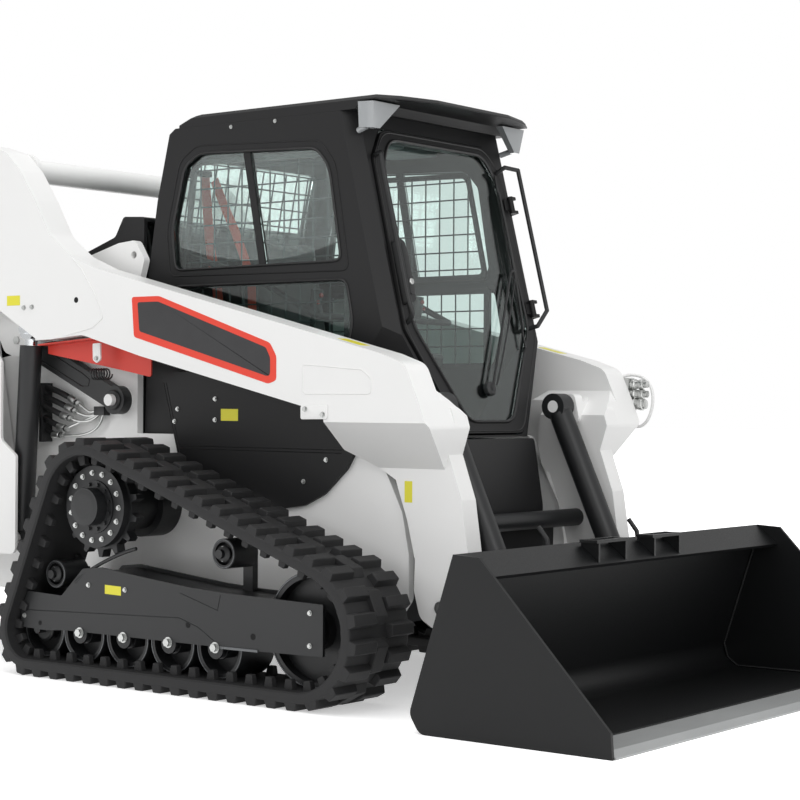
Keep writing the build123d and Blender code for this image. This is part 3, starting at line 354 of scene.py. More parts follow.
def prism(bm, ring, shift):
    """Closed solid from a ring of points and the vector to its far face."""
    shift = Vector(shift)
    near = [bm.verts.new(Vector(p)) for p in ring]
    far = [bm.verts.new(Vector(p) + shift) for p in ring]
    bm.faces.new(near)
    bm.faces.new(list(reversed(far)))
    for i in range(len(ring)):
        j = (i + 1) % len(ring)
        bm.faces.new((near[j], near[i], far[i], far[j]))


def side_plate(bm, rows, y, thickness):
    """Plate lying on a side face at y, standing out by its thickness; rows are x, z."""
    prism(bm, on_side(rows, y), (0, math.copysign(thickness, y), 0))


def on_side(rows, y):
    """Points at y from rows of x, z."""
    return [(x, y, z) for x, z in rows]


def rounded(rows, radius, steps=4):
    """Rows of x, z with each corner rounded."""
    ring = []
    for i, row in enumerate(rows):
        corner, before, after = Vector(row), Vector(rows[i - 1]), Vector(rows[(i + 1) % len(rows)])
        a = corner + (before - corner).normalized() * radius
        b = corner + (after - corner).normalized() * radius
        for k in range(steps + 1):
            t = k / steps
            ring.append(tuple(a.lerp(corner, t).lerp(corner.lerp(b, t), t)))
    return ring


def lathe(bm, profile, centre, axis, steps=40):
    """Solid of revolution: profile rows are distance along the axis and radius, ends closed."""
    centre, axis = Vector(centre), Vector(axis).normalized()
    turn = axis.to_track_quat("Z", "Y")
    rings = []
    for along, radius in profile:
        turns = [2 * math.pi * k / steps for k in range(steps)]
        around = [Vector((radius * math.cos(a), radius * math.sin(a), along)) for a in turns]
        rings.append([bm.verts.new(centre + turn @ place) for place in around])
    for low, high in zip(rings, rings[1:]):
        for k in range(steps):
            bm.faces.new((low[k], low[(k + 1) % steps], high[(k + 1) % steps], high[k]))
    bm.faces.new(list(reversed(rings[0])))
    bm.faces.new(rings[-1])


def hoop(bm, centre, radius, thick, steps=64, sides=6):
    """Round ring about an axis along Y."""
    rows = []
    for k in range(steps):
        a = 2 * math.pi * k / steps
        row = []
        for j in range(sides):
            b = 2 * math.pi * j / sides
            r = radius + thick * math.cos(b)
            row.append(bm.verts.new((centre[0] + r * math.cos(a), centre[1] + thick * math.sin(b),
                                     centre[2] + r * math.sin(a))))
        rows.append(row)
    for k in range(steps):
        for j in range(sides):
            bm.faces.new((rows[k][j], rows[k][(j + 1) % sides], rows[(k + 1) % steps][(j + 1) % sides],
                          rows[(k + 1) % steps][j]))


def pipe(name, points, radius, build, body, order=4, closed=False, sides=10):
    """Round line through control points in millimetres, as a closed mesh."""
    curve = bpy.data.curves.new(name, "CURVE")
    curve.dimensions = "3D"
    curve.bevel_depth = radius / 1000
    curve.bevel_resolution = max(1, sides // 4)
    curve.use_fill_caps = True
    curve.resolution_u = 8
    spline = curve.splines.new("NURBS")
    spline.points.add(len(points) - 1)
    for point, place in zip(spline.points, metres(points)):
        point.co = (*place, 1.0)
    spline.use_cyclic_u = closed
    spline.order_u = min(order, len(points))
    spline.use_endpoint_u = not closed
    maker = bpy.data.objects.new(name, curve)
    mesh = bpy.data.meshes.new_from_object(maker)
    bpy.data.objects.remove(maker)
    bpy.data.curves.remove(curve)
    return piece(name, mesh, build, body, 60.0)


def surface_of(node):
    """Search tree over the faces of a CAD node."""
    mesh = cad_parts[node].data
    return BVHTree.FromPolygons([v.co.copy() for v in mesh.vertices],
                                [list(p.vertices) for p in mesh.polygons])


LABEL_START, LABEL_REACH, LABEL_GAP = 0.2, 1.0, 0.0002  # metres: backed off, searched, kept off the paint


def stuck_on(bm, search, corners, towards, thickness=0.6):
    """Thin plate laid on a surface: its corners, in millimetres, travel towards it until they meet it."""
    towards = Vector(towards).normalized()
    ring = []
    for corner in metres(corners):
        place = search.ray_cast(corner - towards * LABEL_START, towards, LABEL_REACH)[0]
        if place is None:
            raise ValueError("a label corner misses its surface")
        ring.append((place - towards * LABEL_GAP) * 1000)
    prism(bm, ring, -towards * thickness)


# ---------------------------------------------------------------- repeated shapes
def new_tree(name, sockets):
    """Geometry tree with its named inputs, and its two end nodes."""
    tree = bpy.data.node_groups.new(name, "GeometryNodeTree")
    tree.interface.new_socket(name="Geometry", in_out="INPUT", socket_type="NodeSocketGeometry")
    for label, kind, default in sockets:
        socket = tree.interface.new_socket(name=label, in_out="INPUT", socket_type=kind)
        if default is not None:
            socket.default_value = default
    tree.interface.new_socket(name="Geometry", in_out="OUTPUT", socket_type="NodeSocketGeometry")
    return tree, add(tree, "NodeGroupInput")


def close_tree(tree, start, geometry):
    """Realize, give the material and leave."""
    real = add(tree, "GeometryNodeRealizeInstances", {"Geometry": geometry})
    painted = add(tree, "GeometryNodeSetMaterial", {"Geometry": real.outputs[0],
                                                    "Material": start.outputs["Material"]})
    add(tree, "NodeGroupOutput", {"Geometry": painted.outputs[0]})
    return tree


def fastener_tree():
    """Hexagon head on a washer at every point, standing along the point's own axis."""
    tree, start = new_tree("hexagon_fasteners", (
        ("Head Width", "NodeSocketFloat", 0.019), ("Head Height", "NodeSocketFloat", 0.008),
        ("Washer Width", "NodeSocketFloat", 0.026), ("Washer Height", "NodeSocketFloat", 0.002),
        ("Material", "NodeSocketMaterial", None)))
    half_head = add(tree, "ShaderNodeMath", {0: start.outputs["Head Width"], 1: 0.5}, operation="MULTIPLY")
    half_washer = add(tree, "ShaderNodeMath", {0: start.outputs["Washer Width"], 1: 0.5},
                      operation="MULTIPLY")
    head = add(tree, "GeometryNodeMeshCylinder", {"Vertices": 6, "Radius": half_head.outputs[0],
                                                  "Depth": start.outputs["Head Height"]})
    washer = add(tree, "GeometryNodeMeshCylinder", {"Vertices": 18, "Radius": half_washer.outputs[0],
                                                    "Depth": start.outputs["Washer Height"]})
    rise = add(tree, "ShaderNodeMath",
               {0: start.outputs["Head Height"], 1: 0.5, 2: start.outputs["Washer Height"]},
               operation="MULTIPLY_ADD")
    lift = add(tree, "ShaderNodeCombineXYZ", {"Z": rise.outputs[0]})
    raised = add(tree, "GeometryNodeTransform",
                 {"Geometry": head.outputs["Mesh"], "Translation": lift.outputs[0]})
    sunk = add(tree, "ShaderNodeMath", {0: start.outputs["Washer Height"], 1: 0.4}, operation="MULTIPLY")
    lift = add(tree, "ShaderNodeCombineXYZ", {"Z": sunk.outputs[0]})
    seated = add(tree, "GeometryNodeTransform",
                 {"Geometry": washer.outputs["Mesh"], "Translation": lift.outputs[0]})
    both = add(tree, "GeometryNodeJoinGeometry")
    tree.links.new(raised.outputs[0], both.inputs[0])
    tree.links.new(seated.outputs[0], both.inputs[0])
    axis = add(tree, "GeometryNodeInputNamedAttribute", {"Name": "axis"}, data_type="FLOAT_VECTOR")
    turn = add(tree, "FunctionNodeAlignRotationToVector", {"Vector": axis.outputs[0]}, axis="Z")
    placed = add(tree, "GeometryNodeInstanceOnPoints", {"Points": start.outputs["Geometry"],
                                                        "Instance": both.outputs[0],
                                                        "Rotation": turn.outputs[0]})
    return close_tree(tree, start, placed.outputs[0])


def lug_tree():
    """Tapered block at every point, turned to the point's travel and sized by the point."""
    tree, start = new_tree("tread_lugs",
                           (("Taper", "NodeSocketFloat", 0.7), ("Material", "NodeSocketMaterial", None)))
    cube = add(tree, "GeometryNodeMeshCube", {"Size": (1.0, 1.0, 1.0)})
    place = add(tree, "GeometryNodeInputPosition")
    split = add(tree, "ShaderNodeSeparateXYZ", {"Vector": place.outputs[0]})
    top = add(tree, "ShaderNodeMath", {0: split.outputs["Z"], 1: 0.0}, operation="GREATER_THAN")
    squeeze = add(tree, "ShaderNodeCombineXYZ", {"X": start.outputs["Taper"], "Y": 0.94, "Z": 1.0})
    squeezed = add(tree, "ShaderNodeVectorMath", {0: place.outputs[0], 1: squeeze.outputs[0]},
                   operation="MULTIPLY")
    block = add(tree, "GeometryNodeSetPosition",
                {"Geometry": cube.outputs["Mesh"], "Selection": top.outputs[0],
                 "Position": squeezed.outputs[0]})
    along = add(tree, "GeometryNodeInputNamedAttribute", {"Name": "along"}, data_type="FLOAT_VECTOR")
    out = add(tree, "GeometryNodeInputNamedAttribute", {"Name": "out"}, data_type="FLOAT_VECTOR")
    size = add(tree, "GeometryNodeInputNamedAttribute", {"Name": "size"}, data_type="FLOAT_VECTOR")
    first = add(tree, "FunctionNodeAlignRotationToVector", {"Vector": along.outputs[0]}, axis="X")
    second = add(tree, "FunctionNodeAlignRotationToVector",
                 {"Rotation": first.outputs[0], "Vector": out.outputs[0]},
                 axis="Z", pivot_axis="X")
    placed = add(tree, "GeometryNodeInstanceOnPoints", {
        "Points": start.outputs["Geometry"], "Instance": block.outputs[0], "Rotation": second.outputs[0],
        "Scale": size.outputs[0]})
    return close_tree(tree, start, placed.outputs[0])


def wire_tree():
    """Round bar along every edge chain."""
    tree, start = new_tree("welded_wire",
                           (("Radius", "NodeSocketFloat", 0.002), ("Sides", "NodeSocketInt", 6),
                            ("Material", "NodeSocketMaterial", None)))
    curve = add(tree, "GeometryNodeMeshToCurve", {"Mesh": start.outputs["Geometry"]})
    ring = add(tree, "GeometryNodeCurvePrimitiveCircle", {"Resolution": start.outputs["Sides"],
                                                          "Radius": start.outputs["Radius"]})
    bar = add(tree, "GeometryNodeCurveToMesh", {"Curve": curve.outputs[0], "Profile Curve": ring.outputs[0],
                                                "Fill Caps": True})
    return close_tree(tree, start, bar.outputs[0])


def bead_tree():
    """Row of flattened drops along every edge chain: the ripples of a weld."""
    tree, start = new_tree("weld_beads",
                           (("Radius", "NodeSocketFloat", 0.005), ("Spacing", "NodeSocketFloat", 0.007),
                            ("Material", "NodeSocketMaterial", None)))
    curve = add(tree, "GeometryNodeMeshToCurve", {"Mesh": start.outputs["Geometry"]})
    points = add(tree, "GeometryNodeCurveToPoints",
                 {"Curve": curve.outputs[0], "Length": start.outputs["Spacing"]},
                 mode="LENGTH")
    drop = add(tree, "GeometryNodeMeshIcoSphere", {"Radius": start.outputs["Radius"], "Subdivisions": 2})
    placed = add(tree, "GeometryNodeInstanceOnPoints", {"Points": points.outputs["Points"],
                                                        "Instance": drop.outputs["Mesh"]})
    return close_tree(tree, start, placed.outputs[0])


TREES = {}


def grown(name, mesh, maker, values, build, body, sharp=32.0):
    """Piece grown from a seed mesh in metres by one geometry tree."""
    if maker.__name__ not in TREES:
        TREES[maker.__name__] = maker()
    tree = TREES[maker.__name__]
    seed = bpy.data.objects.new(name + "_seed", mesh)
    bpy.context.scene.collection.objects.link(seed)
    modifier = seed.modifiers.new("grow", "NODES")
    modifier.node_group = tree
    values = dict(values, Material=finish(build))
    for socket in tree.interface.items_tree:
        if socket.item_type == "SOCKET" and socket.in_out == "INPUT" and socket.name in values:
            modifier[socket.identifier] = values[socket.name]
    graph = bpy.context.evaluated_depsgraph_get()
    plain = bpy.data.meshes.new_from_object(seed.evaluated_get(graph), depsgraph=graph)
    seed.modifiers.remove(modifier)
    bpy.data.objects.remove(seed)
    if not plain.polygons:
        raise ValueError(name + " grew nothing")
    return piece(name, plain, build, body, sharp)


def seed_points(name, rows, **vectors):
    """Mesh of loose points in metres with a vector attribute for each keyword."""
    mesh = bpy.data.meshes.new(name)
    mesh.from_pydata([tuple(p) for p in metres(rows)], [], [])
    for key, values in vectors.items():
        layer = mesh.attributes.new(key, "FLOAT_VECTOR", "POINT")
        layer.data.foreach_set("vector", [v for value in values for v in value])
    return mesh


def seed_lines(name, lines, closed=False):
    """Mesh of edge chains in metres."""
    points, edges = [], []
    for line in lines:
        start = len(points)
        points += [tuple(p) for p in metres(line)]
        edges += [(start + i, start + i + 1) for i in range(len(line) - 1)]
        if closed:
            edges.append((start + len(line) - 1, start))
    mesh = bpy.data.meshes.new(name)
    mesh.from_pydata(points, edges, [])
    return mesh


def bolts(name, rows, body, width, height=None, washer=None, build=zinc_plate):
    """Hexagon bolts: rows are a place and the way the head faces."""
    seeds = seed_points(name, [place for place, _ in rows], axis=[axis for _, axis in rows])
    return grown(name, seeds, fastener_tree, {
        "Head Width": width / 1000, "Head Height": (height or width * 0.42) / 1000,
        "Washer Width": (washer or width * 1.35) / 1000, "Washer Height": max(1.5, width * 0.1) / 1000},
                 build, body)


def wires(name, lines, radius, build, body, closed=False, sides=6):
    """Round bars along lines in millimetres."""
    return grown(name, seed_lines(name, lines, closed), wire_tree, {"Radius": radius / 1000, "Sides": sides},
                 build, body, 60.0)


def beads(name, lines, radius, spacing, build, body):
    """Weld ripples along lines in millimetres."""
    return grown(name, seed_lines(name, lines), bead_tree,
                 {"Radius": radius / 1000, "Spacing": spacing / 1000},
                 build, body, 60.0)


# Sides of the machine's parts, in millimetres from its middle plane
ARM_FACE = 680
BRACKET_FACE = 686
FLANK_FACE = 516
TRACK_FRAME_FACE = 850
WHEEL_FACE = 804
LINK_FACE = 552
CAB_FACE = 468
GUARD_PLANE = 427
FRAME_SIDE = 500.5


# ---------------------------------------------------------------- undercarriage
# x, z and radius of the belt's inner face round the sprocket, front idler and rear idler
WHEELS = ((-470.0, 630.0, 187.0), (535.0, 258.0, 195.0), (-755.0, 168.0, 105.0))
BELT_MIDDLE = 744.0
BELT_THICKNESS = 38.0
BELT_STATIONS = 180
LUG_PAIR_PITCH = 172.0
ROLLERS = (-522.0, -301.0, -80.0, 141.0)
CARRIERS = ((-700.0, 372.0), (135.0, 490.0))


def belt_walk(offset):
    """Runs and wraps of the belt at a distance outside its inner face."""
    runs = []
    for i, (x0, z0, r0) in enumerate(WHEELS):
        x1, z1, r1 = WHEELS[(i + 1) % 3]
        normal = math.atan2(z1 - z0, x1 - x0) + math.acos((r0 - r1) / math.hypot(x1 - x0, z1 - z0))
        nx, nz = math.cos(normal), math.sin(normal)
        runs.append((Vector((x0 + (r0 + offset) * nx, z0 + (r0 + offset) * nz)),
                     Vector((x1 + (r1 + offset) * nx, z1 + (r1 + offset) * nz)), normal))
    walk = []
    for i, (start, end, normal) in enumerate(runs):
        x, z, r = WHEELS[(i + 1) % 3]
        turn = (normal - runs[(i + 1) % 3][2]) % (2 * math.pi)
        walk.append(("run", start, end, normal, (end - start).length))
        walk.append(("wrap", Vector((x, z)), r + offset, normal, turn * (r + offset)))
    return walk


def belt_at(walk, distance):
    """Point, travel and outward way at a distance along the belt."""
    distance %= sum(part[4] for part in walk)
    for kind, first, second, normal, length in walk:
        if distance < length:
            break
        distance -= length
    if kind == "run":
        place = first.lerp(second, distance / length)
    else:
        normal -= distance / second
        place = first + second * Vector((math.cos(normal), math.sin(normal)))
    out = Vector((math.cos(normal), math.sin(normal)))
    return place, Vector((out[1], -out[0])), out


def belt(side):
    """Endless rubber belt with eased edges."""
    walk = belt_walk(BELT_THICKNESS)
    total = sum(part[4] for part in walk)
    profile = ((-154, -38), (154, -38), (160, -32), (160, -6), (157, -2), (151, 0), (-151, 0), (-157, -2),
               (-160, -6), (-160, -32))
    bm = bmesh.new()
    rings = []
    for n in range(BELT_STATIONS):
        place, _, out = belt_at(walk, total * n / BELT_STATIONS)
        rings.append([bm.verts.new((place[0] + out[0] * rise, side * (BELT_MIDDLE + y),
                                    place[1] + out[1] * rise))
                      for y, rise in profile])
    for n, ring in enumerate(rings):
        following = rings[(n + 1) % len(rings)]
        for k in range(len(profile)):
            j = (k + 1) % len(profile)
            bm.faces.new((ring[k], ring[j], following[j], following[k]))
    name = "belt_left" if side > 0 else "belt_right"
    made = from_bmesh(name, bm, moulded_rubber, "chassis", sharp=40.0)
    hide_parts("track_left" if side > 0 else "track_right")


def lugs(side, height, taper):
    """Tread blocks outside the belt and drive guides inside it."""
    walk = belt_walk(BELT_THICKNESS)
    total = sum(part[4] for part in walk)
    pairs = round(total / LUG_PAIR_PITCH)
    step = total / pairs / 2
    rows = []
    for n in range(pairs):
        start = 2 * n * step
        rows += [(start + k * step, 97.0, (54, 124, height + 8), height / 2 - 4) for k in (0, 1)]
        rows += [(start + (k + 0.5) * step, -97.0, (54, 124, height + 8), height / 2 - 4) for k in (0, 1)]
        rows.append((start + 0.5 * step, 4.0, (132, 62, height + 4), height / 2 - 8))
        rows += [(start + (k + 0.5) * step, y, (38, 26, 36), -54) for k in (0, 1) for y in (-104.0, 104.0)]
    places, along, outs, sizes = [], [], [], []
    for distance, y, size, rise in rows:
        place, travel, out = belt_at(walk, distance)
        if rise < -30:
            out = -out
            place = place - out * rise
        else:
            place = place + out * rise
        places.append((place[0], side * (BELT_MIDDLE + y), place[1]))
        along.append((travel[0], 0.0, travel[1]))
        outs.append((out[0], 0.0, out[1]))
        sizes.append([s / 1000 for s in size])
    seeds = seed_points("lug_seeds", places, along=along, out=outs, size=sizes)
    name = "tread_lugs_left" if side > 0 else "tread_lugs_right"
    made = grown(name, seeds, lug_tree, {"Taper": taper}, moulded_rubber, "chassis", 40.0)
    edge = made.modifiers.new("eased", "BEVEL")
    edge.width = 0.003
    edge.segments = 2
    edge.limit_method = "ANGLE"
    edge.angle_limit = math.radians(40)


def undercarriage_trim(side, width):
    """Bolts, hubs, rubbed rims, painted shade in the ports, and labels between the belt's runs."""
    tag = "left" if side > 0 else "right"
    out = (0.0, float(side), 0.0)
    x, z, _ = WHEELS[0]
    ring = [((x + 122 * math.cos(a), side * 830, z + 122 * math.sin(a)), out)
            for a in (2 * math.pi * n / 15 for n in range(15))]
    bolts("sprocket_bolts_" + tag, ring, "chassis", width * 0.8)
    ring = [((x + 82 * math.cos(a), side * 835, z + 82 * math.sin(a)), out)
            for a in (2 * math.pi * (n + 0.5) / 12 for n in range(12))]
    bolts("hub_bolts_" + tag, ring, "chassis", width * 0.8, build=chassis_enamel)
    plate = side * TRACK_FRAME_FACE
    rows = [(place, out) for place in on_side([(rx, 173) for rx in ROLLERS], plate)]
    bolts("roller_bolts_" + tag, rows, "chassis", width * 1.5)
    small = on_side([(-817, 215), (-479, 348), (-294, 342), (560, 320), (560, 212)], plate)
    small += on_side([(cx, cz + dz) for cx, cz in CARRIERS for dz in (20, -20)], side * WHEEL_FACE)
    bolts("track_frame_bolts_" + tag, [(place, out) for place in small], "chassis", width * 0.7)
    bm = bmesh.new()
    for rx in ROLLERS:
        for y in (BELT_MIDDLE - 84, BELT_MIDDLE + 84):
            hoop(bm, (rx, side * y, 168), 101, 2.4)
    hoop(bm, (WHEELS[1][0], side * (BELT_MIDDLE + 60), WHEELS[1][1]), 190, 3)
    hoop(bm, (WHEELS[2][0], side * (BELT_MIDDLE + 60), WHEELS[2][1]), 101, 2.6)
    for cx, cz in CARRIERS:
        hoop(bm, (cx, side * (BELT_MIDDLE + 60), cz), 48, 2)
    from_bmesh("rubbed_rims_" + tag, bm, worn_rim, "chassis", sharp=60.0)
    bm = bmesh.new()
    lathe(bm, [(0, 60), (4, 64), (10, 64), (12, 50), (12, 40)], (x, side * 874, z), out)
    for cx, cz in CARRIERS:
        lathe(bm, [(0, 30), (6, 30), (12, 24), (16, 12)], (cx, side * 800, cz), out)
    lathe(bm, [(0, 46), (10, 46), (16, 38)], (WHEELS[2][0], side * 796, WHEELS[2][1]), out)
    from_bmesh("hub_caps_" + tag, bm, cast_iron, "chassis")
    # Painted shade: near-black discs stand for the shade inside the frame's holes and the sprocket's bore.
    bm = bmesh.new()
    for px, pz, r in ((-733, 193, 9), (13, 241, 11), (312, 223, 11)):
        lathe(bm, [(0, r), (0.8, r)], (px, side * 849.8, pz), out, 20)
    lathe(bm, [(0, 39), (0.8, 39)], (x, side * 883.6, z), out, 28)
    from_bmesh("frame_ports_" + tag, bm, painted_gap_shade, "chassis")
    bm = bmesh.new()
    side_plate(bm, [(163, 171), (335, 172), (335, 181), (163, 180)], plate, 4)
    from_bmesh("wear_strip_" + tag, bm, worn_rim, "chassis", 0.8)
    folds = ([(-820, 236), (-30, 262), (60, 236), (160, 180)], [(-25, 348), (150, 300), (162, 352)])
    wires("frame_folds_" + tag, [on_side(fold, plate) for fold in folds], 1.6, chassis_enamel, "chassis")
    pipe("hose_guard_" + tag, [(-549, side * 846, 352), (-500, side * 846, 400), (-345, side * 832, 470),
                               (-265, side * 824, 488)], 7, chassis_enamel, "chassis")
    bm = bmesh.new()
    side_plate(bm, [(-395, 322), (-314, 320), (-314, 352), (-395, 354)], plate, 0.6)
    from_bmesh("track_label_" + tag, bm, yellow_vinyl, "chassis")


# ---------------------------------------------------------------- arms and flanks
OFF_ARM = 760.0  # millimetres from the middle plane at which a label starts its way to the arm
ABOVE_KNEE = 1400  # height in millimetres from which the knee's label starts its way down


def arm_marks(side):
    """Badge field, plain labels, edge beads and bolts of one lift arm."""
    tag = "left" if side > 0 else "right"
    arm = "lift_arm_" + tag
    search = surface_of(arm)
    inwards = (0.0, -float(side), 0.0)
    out = (0.0, float(side), 0.0)

    off = side * OFF_ARM
    red = rounded([(-438, 1392), (-300, 1392), (232, 1216), (262, 1170), (262, 1086), (226, 1074),
                   (-426, 1246)], 10, 2)
    black = rounded([(-408, 1372), (-304, 1372), (214, 1200), (234, 1164), (234, 1106), (222, 1100),
                     (-398, 1266)], 8, 2)
    bm = bmesh.new()
    stuck_on(bm, search, on_side(red, off), inwards, 0.5)
    from_bmesh("badge_border_" + tag, bm, red_vinyl, "lift_arms")
    bm = bmesh.new()
    stuck_on(bm, search, on_side(black, off), inwards, 0.9)
    from_bmesh("badge_field_" + tag, bm, black_vinyl, "lift_arms")
    bm = bmesh.new()
    for rows in ([(-1116, 1377), (-1042, 1377), (-1042, 1415), (-1116, 1415)],
                 [(694, 676), (726, 676), (726, 748), (694, 748)]):
        stuck_on(bm, search, on_side(rows, off), inwards)
    knee = [(500, 590), (600, 590), (600, 640), (500, 640)]
    stuck_on(bm, search, [(x, side * y, ABOVE_KNEE) for x, y in knee], (0, 0, -1))
    from_bmesh("arm_labels_" + tag, bm, yellow_vinyl, "lift_arms")
    rows = on_side([(-1019, 1367), (-974, 1369)], side * ARM_FACE)
    rows += on_side([(396, 988), (474, 970)], side * BRACKET_FACE)
    rows += on_side([(631, 807)], side * FLANK_FACE)
    bolts("arm_bolts_" + tag, [(place, out) for place in rows], "lift_arms", 15)
    bm = bmesh.new()
    side_plate(bm, rounded([(376, 1000), (492, 1003), (492, 955), (376, 953)], 8), side * ARM_FACE, 6)
    from_bmesh("arm_bracket_" + tag, bm, white_powder_coat, "lift_arms", 1.2)
    # Painted shade: a near-black disc and a slot-shaped plate stand for the shade inside the pin hole and the
    # flank's slot.
    bm = bmesh.new()
    lathe(bm, [(0, 11), (0.8, 11)], (-731, side * 679.8, 1389), out, 20)
    slot = [(648, 846), (672, 858), (704, 800), (680, 788)]
    side_plate(bm, rounded(slot, 12), side * FLANK_FACE, 0.8)
    from_bmesh("arm_ports_" + tag, bm, painted_gap_shade, "lift_arms")
    lobe = [(-754, 1548), (-700, 1500), (-640, 1420), (-600, 1355), (-590, 1318), (-640, 1284), (-785, 1256)]
    wires("lobe_edge_" + tag, [on_side(lobe, side * ARM_FACE)], 2.2, white_powder_coat, "lift_arms")
    panel = rounded([(380, 1140), (640, 1120), (676, 1090), (676, 1040), (380, 1040)], 14, 3)
    wires("arm_panel_edge_" + tag, [on_side(panel, side * ARM_FACE)], 1.8, white_powder_coat, "lift_arms",
          closed=True)


LINK_PINS = ((-660, 1015), (-1180, 1248))


def pins(side):
    """Pin heads and retaining bolts of the linkage."""
    tag = "left" if side > 0 else "right"
    out = (0.0, float(side), 0.0)
    bm = bmesh.new()
    for x, z in LINK_PINS:
        lathe(bm, [(-2, 38), (5, 38), (9, 34)], (x, side * LINK_FACE, z), out)
    from_bmesh("link_pin_caps_" + tag, bm, cast_iron, "control_links")
    nuts = [(place, out) for place in on_side(LINK_PINS, side * (LINK_FACE + 9))]
    bolts("link_pin_nuts_" + tag, nuts, "control_links", 34, 14, 44)
    recess = [(-1060, 1218), (-830, 1116), (-790, 1092), (-798, 1068), (-830, 1066), (-1066, 1170),
              (-1088, 1196)]
    wires("link_recess_" + tag, [on_side(recess, side * LINK_FACE)], 2.5, cast_iron, "control_links",
          closed=True)
    bolts("hinge_pin_bolts_" + tag, [((850, side * 524, 330), out)], "lift_arms", 30, 12, 46)


def flank(side):
    """Bolts, folds and the plain label of the flank under the cab."""
    tag = "left" if side > 0 else "right"
    out = (0.0, float(side), 0.0)
    rows = ((-173, 1021), (-361, 983), (-376, 937), (-173, 945), (351, 811), (249, 733))
    face = side * FLANK_FACE
    bolts("flank_bolts_" + tag, [(place, out) for place in on_side(rows, face)], "chassis", 13)
    bm = bmesh.new()
    side_plate(bm, [(-144, 942), (-61, 942), (-61, 985), (-144, 985)], face, 0.6)
    from_bmesh("flank_label_" + tag, bm, yellow_vinyl, "chassis")
    folds = ([(-432, 1080), (-357, 813)], [(-420, 1080), (-345, 813)], [(-347, 849), (420, 846)],
             [(-347, 838), (420, 835)])
    wires("flank_folds_" + tag, [on_side(fold, face) for fold in folds], 1.6, charcoal_powder_coat,
          "chassis")


def support_fittings():
    """White clip, its bolt and the spring of the arm support, which hangs under the right arm only."""
    bm = bmesh.new()
    clip = rounded([(-676, 1226), (-636, 1228), (-634, 1166), (-654, 1152), (-674, 1164)], 6)
    side_plate(bm, clip, -640, 8)
    from_bmesh("support_clip", bm, white_powder_coat, "chassis", 1.0)
    bolts("support_clip_bolt", [((-654, -648, 1170), (0.0, -1.0, 0.0))], "chassis", 15)
    turns, coil = 6, []
    for n in range(turns * 12 + 1):
        a = 2 * math.pi * n / 12
        coil.append((-716 + n * 84 / (turns * 12), -606 + 20 * math.cos(a), 1112 + 20 * math.sin(a)))
    wires("support_spring", [coil], 3.2, cast_iron, "chassis")


# ---------------------------------------------------------------- lines
HOSES = (((-1054, 1062), (-1010, 1056), (-955, 1040), (-880, 1003)),
         ((-1054, 1029), (-1010, 1016), (-950, 995), (-886, 973)),
         ((-1054, 993), (-1010, 977), (-960, 959), (-905, 943)),
         ((-1054, 945), (-1010, 926), (-975, 912), (-930, 903)),
         ((-1054, 900), (-1030, 884), (-1005, 877), (-968, 877)))
TUBES = (((-880, 1003), (-845, 985), (-820, 962), (-790, 970), (-768, 985)),
         ((-886, 973), (-840, 950), (-800, 945), (-765, 972)),
         ((-905, 943), (-850, 925), (-800, 925), (-760, 968)),
         ((-930, 903), (-880, 925), (-820, 940), (-770, 962)),
         ((-968, 877), (-900, 872), (-790, 885), (-752, 930), (-748, 965)))


def hydraulic_lines(side):
    """Formed hoses from the rear bulkhead, each crimped to a steel tube that ends in the flank's block."""
    tag = "left" if side > 0 else "right"
    bm = bmesh.new()
    for rows, depth in (([(-1066, 850), (-1050, 850), (-1050, 1080), (-1066, 1080)], 58),
                        ([(-786, 956), (-730, 956), (-730, 990), (-786, 990)], 34)):
        side_plate(bm, rows, side * FRAME_SIDE, depth)
    from_bmesh("line_blocks_" + tag, bm, chassis_enamel, "chassis", 2.0)
    for n, (hose, tube) in enumerate(zip(HOSES, TUBES)):
        y = (530, 540, 546, 540, 530)[n]
        pipe("hose_%d_%s" % (n + 1, tag), [(x, side * y, z) for x, z in hose], 12, extruded_rubber, "chassis")
        bent = [(x, side * (y - (y - 520) * k / (len(tube) - 1)), z) for k, (x, z) in enumerate(tube)]
        pipe("line_tube_%d_%s" % (n + 1, tag), bent, 5.5, zinc_plate, "chassis")
        a, b = Vector((hose[-2][0], side * y, hose[-2][1])), Vector((hose[-1][0], side * y, hose[-1][1]))
        way = (b - a).normalized()
        bm = bmesh.new()
        lathe(bm, [(-46, 14), (-44, 15), (-10, 15), (-8, 11), (2, 11)], b, way, 20)
        lathe(bm, [(2, 13), (14, 13)], b, way, 6)
        from_bmesh("ferrule_%d_%s" % (n + 1, tag), bm, zinc_plate, "chassis")


def couplers():
    """Collars on the auxiliary couplers and the bent guard round them."""
    bm = bmesh.new()
    for z, r in ((1085, 13), (1048, 13), (1010, 18)):
        steps = ((851, 7), (868, 7), (870, 4), (884, 4), (886, 6), (902, 6), (904, 1))
        lathe(bm, [(x, r + rise) for x, rise in steps], (0, 706, z), (1, 0, 0), 24)
    from_bmesh("coupler_collars", bm, zinc_plate, "lift_arms", 0.8)
    loop = [(806, 690, 1108), (812, 716, 1122), (880, 722, 1126), (932, 722, 1080), (936, 722, 1000),
            (905, 722, 930), (850, 718, 915), (812, 700, 940), (806, 686, 960)]
    pipe("coupler_guard", loop, 6, white_powder_coat, "lift_arms")
    corners = on_side([(800, 1100), (800, 1000), (838, 1100), (838, 1000)], 725)
    bolts("coupler_block_bolts", [(place, (0.0, 1.0, 0.0)) for place in corners], "lift_arms", 10)


# ---------------------------------------------------------------- cab
def door_point(y, z, ahead):
    """Place on the leaning door plane, standing ahead of it."""
    return (678 - 0.252 * (z - 1000) + ahead * 0.9697, y, z + ahead * 0.2444)


def mirrored(rows):
    return list(rows) + [(-y, z) for y, z in reversed(rows)]


